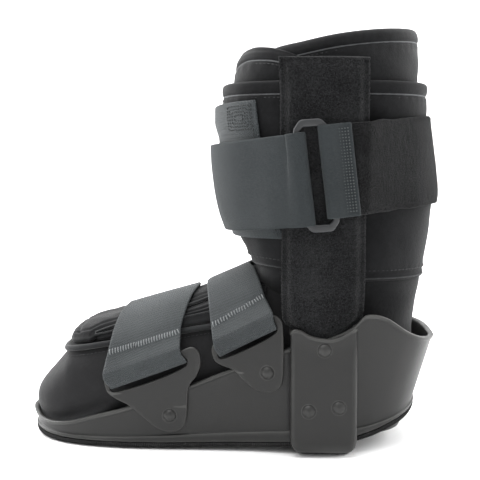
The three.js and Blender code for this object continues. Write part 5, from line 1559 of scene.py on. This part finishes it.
def turn_at(x, z):
    b = (foot_high(x) - foot_low(x)) / 2
    share = (z - foot_high(x) + b) / b
    return np.where(share >= 1, 0.0, np.arccos(np.clip(np.maximum(share, 0), 0, 1) ** 1.1))


FLAP_GAP = 0.9
edge_up = curve(*FLAP_EDGE.T)
FLAP_FRONT, FLAP_BACK, NEAR_FRONT = 0.109 * BOOT_L, 0.588 * BOOT_L, 0.168 * BOOT_L
FLAP_LIFT = 3.0
FAR_SIDE = np.array([1, -1, 1])


def flap_grid(xs, low, high, cols):
    """Points over the foot between two turns, their outward ways, and distances from side and front edges."""
    t = mix(low[:, None], high[:, None], np.linspace(0, 1, cols))
    x = np.broadcast_to(xs[:, None], t.shape)
    base = foot_point(t, x, FLAP_GAP)
    n = unit(foot_point(t, x, FLAP_GAP + 1.0) - base)
    arc = flow_of(base)[..., 1]
    return base, n, np.minimum(arc, arc.max(1, keepdims=True) - arc), xs[:, None] - xs[0]


def closed_pad(bag, base, n, thick):
    """Closed cushion form over a grid: outer face, rounded rim, inner face."""
    turns = np.linspace(0, PI, 7)[1:-1]
    loops = []
    outer = base + n * thick[..., None]
    for k, inner, face, rim in ((-1, -2, outer, turns), (0, 1, base[:, ::-1], turns[::-1])):
        tan = unit(base[:, k] - base[:, inner])
        nk, r = n[:, k], thick[:, k, None] / 2
        edge = [base[:, k] + nk * r * (1 + math.cos(a)) + tan * r * math.sin(a) for a in rim]
        loops += [face, np.stack(edge, 1)]
    grid = np.concatenate(loops, 1)
    bag.grid(grid, closed_v=True)
    bag.fan(grid[0])
    bag.fan(grid[-1])


def far_flap_piece():
    """Far foot flap: right across at the toes, further back as far as the near flap's edge."""
    step = np.linspace(0, 1, 26) ** 1.3
    xs = np.concatenate([mix(FLAP_FRONT, NEAR_FRONT, step), np.linspace(NEAR_FRONT + 1.5, FLAP_BACK, 70)])
    side = turn_at(xs, bind_up(xs) + FLAP_LIFT)
    near = mix(side, turn_at(xs, edge_up(xs) + GAP), ease(xs, NEAR_FRONT - 3, NEAR_FRONT + 2))
    base, n, edge, front = flap_grid(xs, near, -side, 70)
    nose = np.sqrt(np.clip(front / 4.5, 0.02, 1)) * mix(0.35, 1.0, ease(FLAP_BACK - xs, 0, 9))[:, None]
    thick = FOOT_FLAP * 0.9 * np.minimum(nose, 1)
    seam = swell(edge, -0.8, 5.2, 0.8) + swell(front, -0.8, 8.0, 0.9) * (edge > 4)
    w = ripple(base, 0.55, 22, 61) + ripple(base, 0.25, 9, 62)
    thick = thick * mix(0.7, 1.0, ease(edge, 0, 4.5)) + seam + w * ease(edge, 1, 6) * ease(front, 1, 6)
    bag = Bag()
    closed_pad(bag, base, n, np.maximum(thick, 0.5))
    obj = bag.make("far_flap_pad", CLOTH_M)
    return keep(obj, "foot_flap_far")


def near_flap_piece():
    """Near foot flap, with piping along its upper edge and a finer one below."""
    xs = np.linspace(NEAR_FRONT + 3.5, FLAP_BACK, 90)
    low = turn_at(xs, bind_up(xs) + FLAP_LIFT)
    high = turn_at(xs, edge_up(xs) - 3 * GAP)
    base, n, edge, front = flap_grid(xs, low, high, 34)
    thick = FOOT_FLAP * mix(0.72, 1.0, ease(edge, 0, 3.5)) * mix(0.6, 1, ease(front, 0, 5))
    thick = thick * mix(0.35, 1.0, ease(FLAP_BACK - xs, 0, 9))[:, None]
    thick = thick + swell(edge, -1.0, 3.6, 0.7) + ripple(base, 0.4, 20, 65) * ease(edge, 1, 6)
    bag = Bag()
    closed_pad(bag, base, n, np.maximum(thick, 0.5))
    obj = bag.make("near_flap_pad", CLOTH_M)
    keep(obj, "foot_flap_near")
    bag = Bag()
    # The piping's pale cloth is a painted highlight along its rolled edges.
    tube(bag, foot_point(high - 0.055, xs, FLAP_GAP + FOOT_FLAP * 0.9)[:-12], 0.9, 8)
    tube(bag, foot_point(mix(low, high, 0.30), xs, FLAP_GAP + FOOT_FLAP - 0.2)[:-12], 0.5, 8)
    return keep(bag.make("near_flap_piping", PIPING_HIGHLIGHT_M), None)


def binding_piece():
    """Rolled binding round the toe of the flaps, and the stitches under it."""
    xs = np.array([0.1, 0.1015, 0.104, 0.109, 0.12, 0.14, 0.17, 0.2, 0.235, 0.29, 0.36, 0.44, 0.52]) * BOOT_L
    near = foot_point(turn_at(xs, bind_up(xs)), xs, GAP + 1.5)
    bag = Bag()
    # The binding roll's pale cloth is a painted highlight.
    tube(bag, spline(np.vstack([near[::-1], near[1:] * FAR_SIDE]), 300), 1.75, 14)
    keep(bag.make("toe_binding_roll", PIPING_HIGHLIGHT_M), "toe_binding")
    xs = np.linspace(25.2, 126, 150)
    t = turn_at(xs, bind_up(xs) - 3.1)
    side = foot_point(t, xs, 0.15)
    n = unit(foot_point(t, xs, 1.0) - foot_point(t, xs, 0))
    sewn("binding_stitches", (side, n, BINDING_STITCH), (side * FAR_SIDE, n * FAR_SIDE, BINDING_STITCH))


def foot_strap_piece(name, spec, node, seed):
    """Foot strap: out through the near slot, over the flaps, through the far slot and back over itself."""
    half = WEBBING / 2
    over = FLAP_GAP + FOOT_FLAP + STRAP_GAP + half
    shoulder = spec["shoulder"]

    def path(v):
        xs, xt, xm, xl, zs = (mix(*spec[k], v) for k in ("slot_x", "top_x", "side_x", "low_x", "slot_z"))

        def inside(z):
            return float(wall_at(xs, z)) - STRAP_GAP - GAP - half

        def outside(z):
            return float(wall_at(xs, z)) + GAP + PLATE + STRAP_GAP + GAP + half

        def fold(sign):
            a, b = inside(zs), outside(zs)
            return [(xs, sign * mix(a, b, 0.5 - 0.5 * math.cos(q)), zs - 0.2 - 1.5 * math.sin(q))
                    for q in np.linspace(0.1, PI - 0.1, 9)]

        def over_foot(turns, out):
            return foot_point(turns, mix(xt, xm, np.abs(turns) / shoulder), out).tolist()

        bar, tail = spec["bar"], 3.6
        low, high = zs + bar * 0.4, zs + bar
        near = [(xs, -inside(zs + tail), zs + tail)] + fold(-1)
        near += [(mix(xs, xl, 0.8), -outside(low), low), (xl, -outside(high), high)]
        far = [(xs, inside(high), high)] + fold(1) + [(xs, outside(high), high)]
        top = over_foot(np.linspace(shoulder, -shoulder, 44), over)
        again = over_foot(np.linspace(-shoulder, math.radians(-32), 22), over + WEBBING + STRAP_GAP)
        return near + top + far + again

    p = strap_grid(path, 330, 5)
    n = normals(p)
    w = flow_of(p)
    rib = 0.10 * np.sin(2 * PI * w[..., 0] / 1.9)
    p = p + n * (rib + ripple(p, 0.25, 34, seed))[..., None]
    obj = web(name + "_web", p, WEBBING * 0.9, w, WEB_FOOT_M)
    run = length_of(p[:, MIDDLE])
    sides = np.cross(p[1:, :-1] - p[:-1, :-1], p[:-1, 1:] - p[:-1, :-1])
    wide = np.linalg.norm(sides, axis=-1).sum() / run
    keep(obj, node)
    return p, n


FORE = {
    "slot_x": (0.2265 * BOOT_L, 0.401 * BOOT_L), "slot_z": (0.1505 * BOOT_H, 0.2145 * BOOT_H),
    "side_x": (0.226 * BOOT_L, 0.388 * BOOT_L), "top_x": (0.25 * BOOT_L, 0.4275 * BOOT_L),
    "low_x": (0.209 * BOOT_L, 0.386 * BOOT_L),
    "shoulder": math.radians(56), "bar": 0.0275 * BOOT_H,
}
INSTEP = {
    "slot_x": (0.4815 * BOOT_L, 0.609 * BOOT_L), "slot_z": (0.2315 * BOOT_H, 0.297 * BOOT_H),
    "side_x": (0.464 * BOOT_L, 0.588 * BOOT_L), "top_x": (0.452 * BOOT_L, 0.553 * BOOT_L),
    "low_x": (0.4685 * BOOT_L, 0.602 * BOOT_L),
    "shoulder": math.radians(52), "bar": 0.0295 * BOOT_H,
}


def strap_stitches(p, n, name, low, high, count):
    """Row of slanting stitches across a foot strap's near side, from one height to another."""
    path, way = [], []
    last = p.shape[1] - 1
    for v in np.linspace(0.02, 0.98, count):
        c = int(v * last)
        run = mix(p[:170, c], p[:170, min(c + 1, last)], v * last - c)
        goal = mix(low, high, v)
        outer = [k for k in range(20, len(run) - 1) if run[k, 1] < 0 and run[k, 2] <= goal <= run[k + 1, 2]]
        if outer:
            k = outer[-1]
            side = n[k, c] if n[k, c][1] < 0 else -n[k, c]
            path.append(run[k] + side * (WEBBING / 2 + 0.05))
            way.append(side)
    bag = Bag()
    tangent = unit(np.gradient(np.array(path), axis=0))
    for here, out, t in zip(path, way, tangent):
        up = unit(np.cross(out, t)) * 1.5
        a, b = here - up, here + up + t * 0.35
        mid = 0.5 * (a + b) + out * 0.38
        dip = out * 0.2
        tube(bag, [a - dip, mix(a, mid, 0.5) + dip, mid, mix(mid, b, 0.5) + dip, b - dip], 0.36, 6)
    return keep(bag.make(name, THREAD_M), None)


# ---------------------------------------------------------------- camera, light, floor
def camera():
    data = bpy.data.cameras.new("camera")
    data.sensor_width = 36
    data.lens = 73.04
    data.clip_end = 50
    cam = bpy.data.objects.new("camera", data)
    bpy.context.scene.collection.objects.link(cam)
    target = Vector((0.00445, 0.00215, 0.1166))
    back = Vector((0.0435, -0.9953, 0.0872)).normalized()
    cam.location = target + back * 0.594
    cam.rotation_euler = (-back).to_track_quat("-Z", "Y").to_euler()
    bpy.context.scene.camera = cam


def area(name, loc, aim, size, power):
    data = bpy.data.lights.new(name, "AREA")
    data.shape = "RECTANGLE"
    data.size, data.size_y = size
    data.energy = power
    obj = bpy.data.objects.new(name, data)
    obj.location = loc
    obj.rotation_euler = (Vector(aim) - Vector(loc)).to_track_quat("-Z", "Y").to_euler()
    bpy.context.scene.collection.objects.link(obj)


def studio():
    scene = bpy.context.scene
    world = bpy.data.worlds.new("studio")
    scene.world = world
    world.use_nodes = True
    bg = world.node_tree.nodes["Background"]
    bg.inputs["Color"].default_value = (1, 1, 1, 1)
    bg.inputs["Strength"].default_value = 1.0
    scene.view_settings.view_transform = "Standard"
    floor_m = bpy.data.materials.new("floor")
    floor_m.use_nodes = True
    b = floor_m.node_tree.nodes["Principled BSDF"]
    b.inputs["Base Color"].default_value = (0.96, 0.96, 0.96, 1)
    b.inputs["Roughness"].default_value = 0.95
    b.inputs["Specular IOR Level"].default_value = 0.0
    mesh = bpy.data.meshes.new("floor")
    # Flat round the boot, then turned up behind it.
    low, start, r = -0.0006, 0.9, 0.7
    line = [(-2.0, low), (start, low)]
    line += [(start + r * math.sin(a), low + r * (1 - math.cos(a))) for a in np.linspace(0.08, PI / 2, 20)]
    line.append((1.6, 3.0))
    verts = [(s * 2.6, y, z) for y, z in line for s in (-1, 1)]
    faces = [(2 * k, 2 * k + 1, 2 * k + 3, 2 * k + 2) for k in range(len(line) - 1)]
    mesh.from_pydata(verts, [], faces)
    mesh.shade_smooth()
    floor = bpy.data.objects.new("floor", mesh)
    scene.collection.objects.link(floor)
    mesh.materials.append(floor_m)
    area("key", (-0.5, -0.7, 0.95), (0, 0, 0.16), (0.8, 0.6), 2.3)
    area("fill", (0.6, -0.9, 0.35), (0, 0, 0.12), (0.8, 0.8), 0.8)
    area("rim_left", (-0.75, 0.28, 0.35), (0, 0, 0.13), (0.4, 0.9), 9)
    area("rim_right", (0.8, 0.22, 0.4), (0, 0, 0.13), (0.4, 0.9), 9)
    area("top", (-0.15, 0.0, 0.95), (0, 0, 0.1), (0.8, 0.8), 12)
    area("back", (0.0, 0.75, 1.6), (0, 1.5, 0.5), (1.6, 0.6), 22)


SIDES = ((-1, "near", 81), (1, "far", 82))
POCKET_RIVETS = (("top", 0.7217, 0.2461), ("front", 0.687, 0.106), ("back", 0.7552, 0.1151))
BRACKET_RIVETS = (("forefoot", 0.363, 0.0815), ("instep", 0.5917, 0.1875))

camera()
shell_piece()
for side, tag, _ in SIDES:
    pocket_piece(side, tag)
    painted_shade_strip_piece(side, tag)
    pads_piece(side, tag)
outsole_piece()
for side, tag, pile_seed in SIDES:
    bracket_piece(f"forefoot_plate_{tag}", FOREFOOT_BRACKET, FOREFOOT_SLOT, side, f"forefoot_bracket_{tag}")
    bracket_piece(f"instep_plate_{tag}", INSTEP_BRACKET, INSTEP_SLOT, side, f"instep_bracket_{tag}")
    upright_piece(side, tag, pile_seed)
    for rivet, x, z in POCKET_RIVETS:
        rivet_piece(f"rivet_head_{rivet}_{tag}", x * BOOT_L, z * BOOT_H, HALF_W + 0.1, (0, 0), side,
                    f"rivet_pocket_{rivet}_{tag}")
    for rivet, x, z in BRACKET_RIVETS:
        x, z, e = x * BOOT_L, z * BOOT_H, 3
        tilt = (float(wall_at(x - e, z) - wall_at(x + e, z)) / (2 * e),
                float(wall_at(x, z - e) - wall_at(x, z + e)) / (2 * e))
        rivet_piece(f"rivet_head_{rivet}_{tag}", x, z, float(wall_at(x, z)) + GAP + PLATE - 0.05, tilt, side,
                    f"rivet_{rivet}_{tag}")
ring_piece()
foot_piece()
leg_piece()
leg_trim()
front_flap_piece()
wrap_piece()
panel_piece()
panel_trim()
front_strap_piece()
rear_strap_piece()
tab_piece()
far_flap_piece()
near_flap_piece()
binding_piece()
fore_p, fore_n = foot_strap_piece("forefoot", FORE, "forefoot_strap", 71)
instep_p, instep_n = foot_strap_piece("instep", INSTEP, "instep_strap", 72)
strap_stitches(fore_p, fore_n, "forefoot_stitches", 55.0, 67.6, 27)
strap_stitches(instep_p, instep_n, "instep_stitches", 71.7, 87.8, 20)
studio()
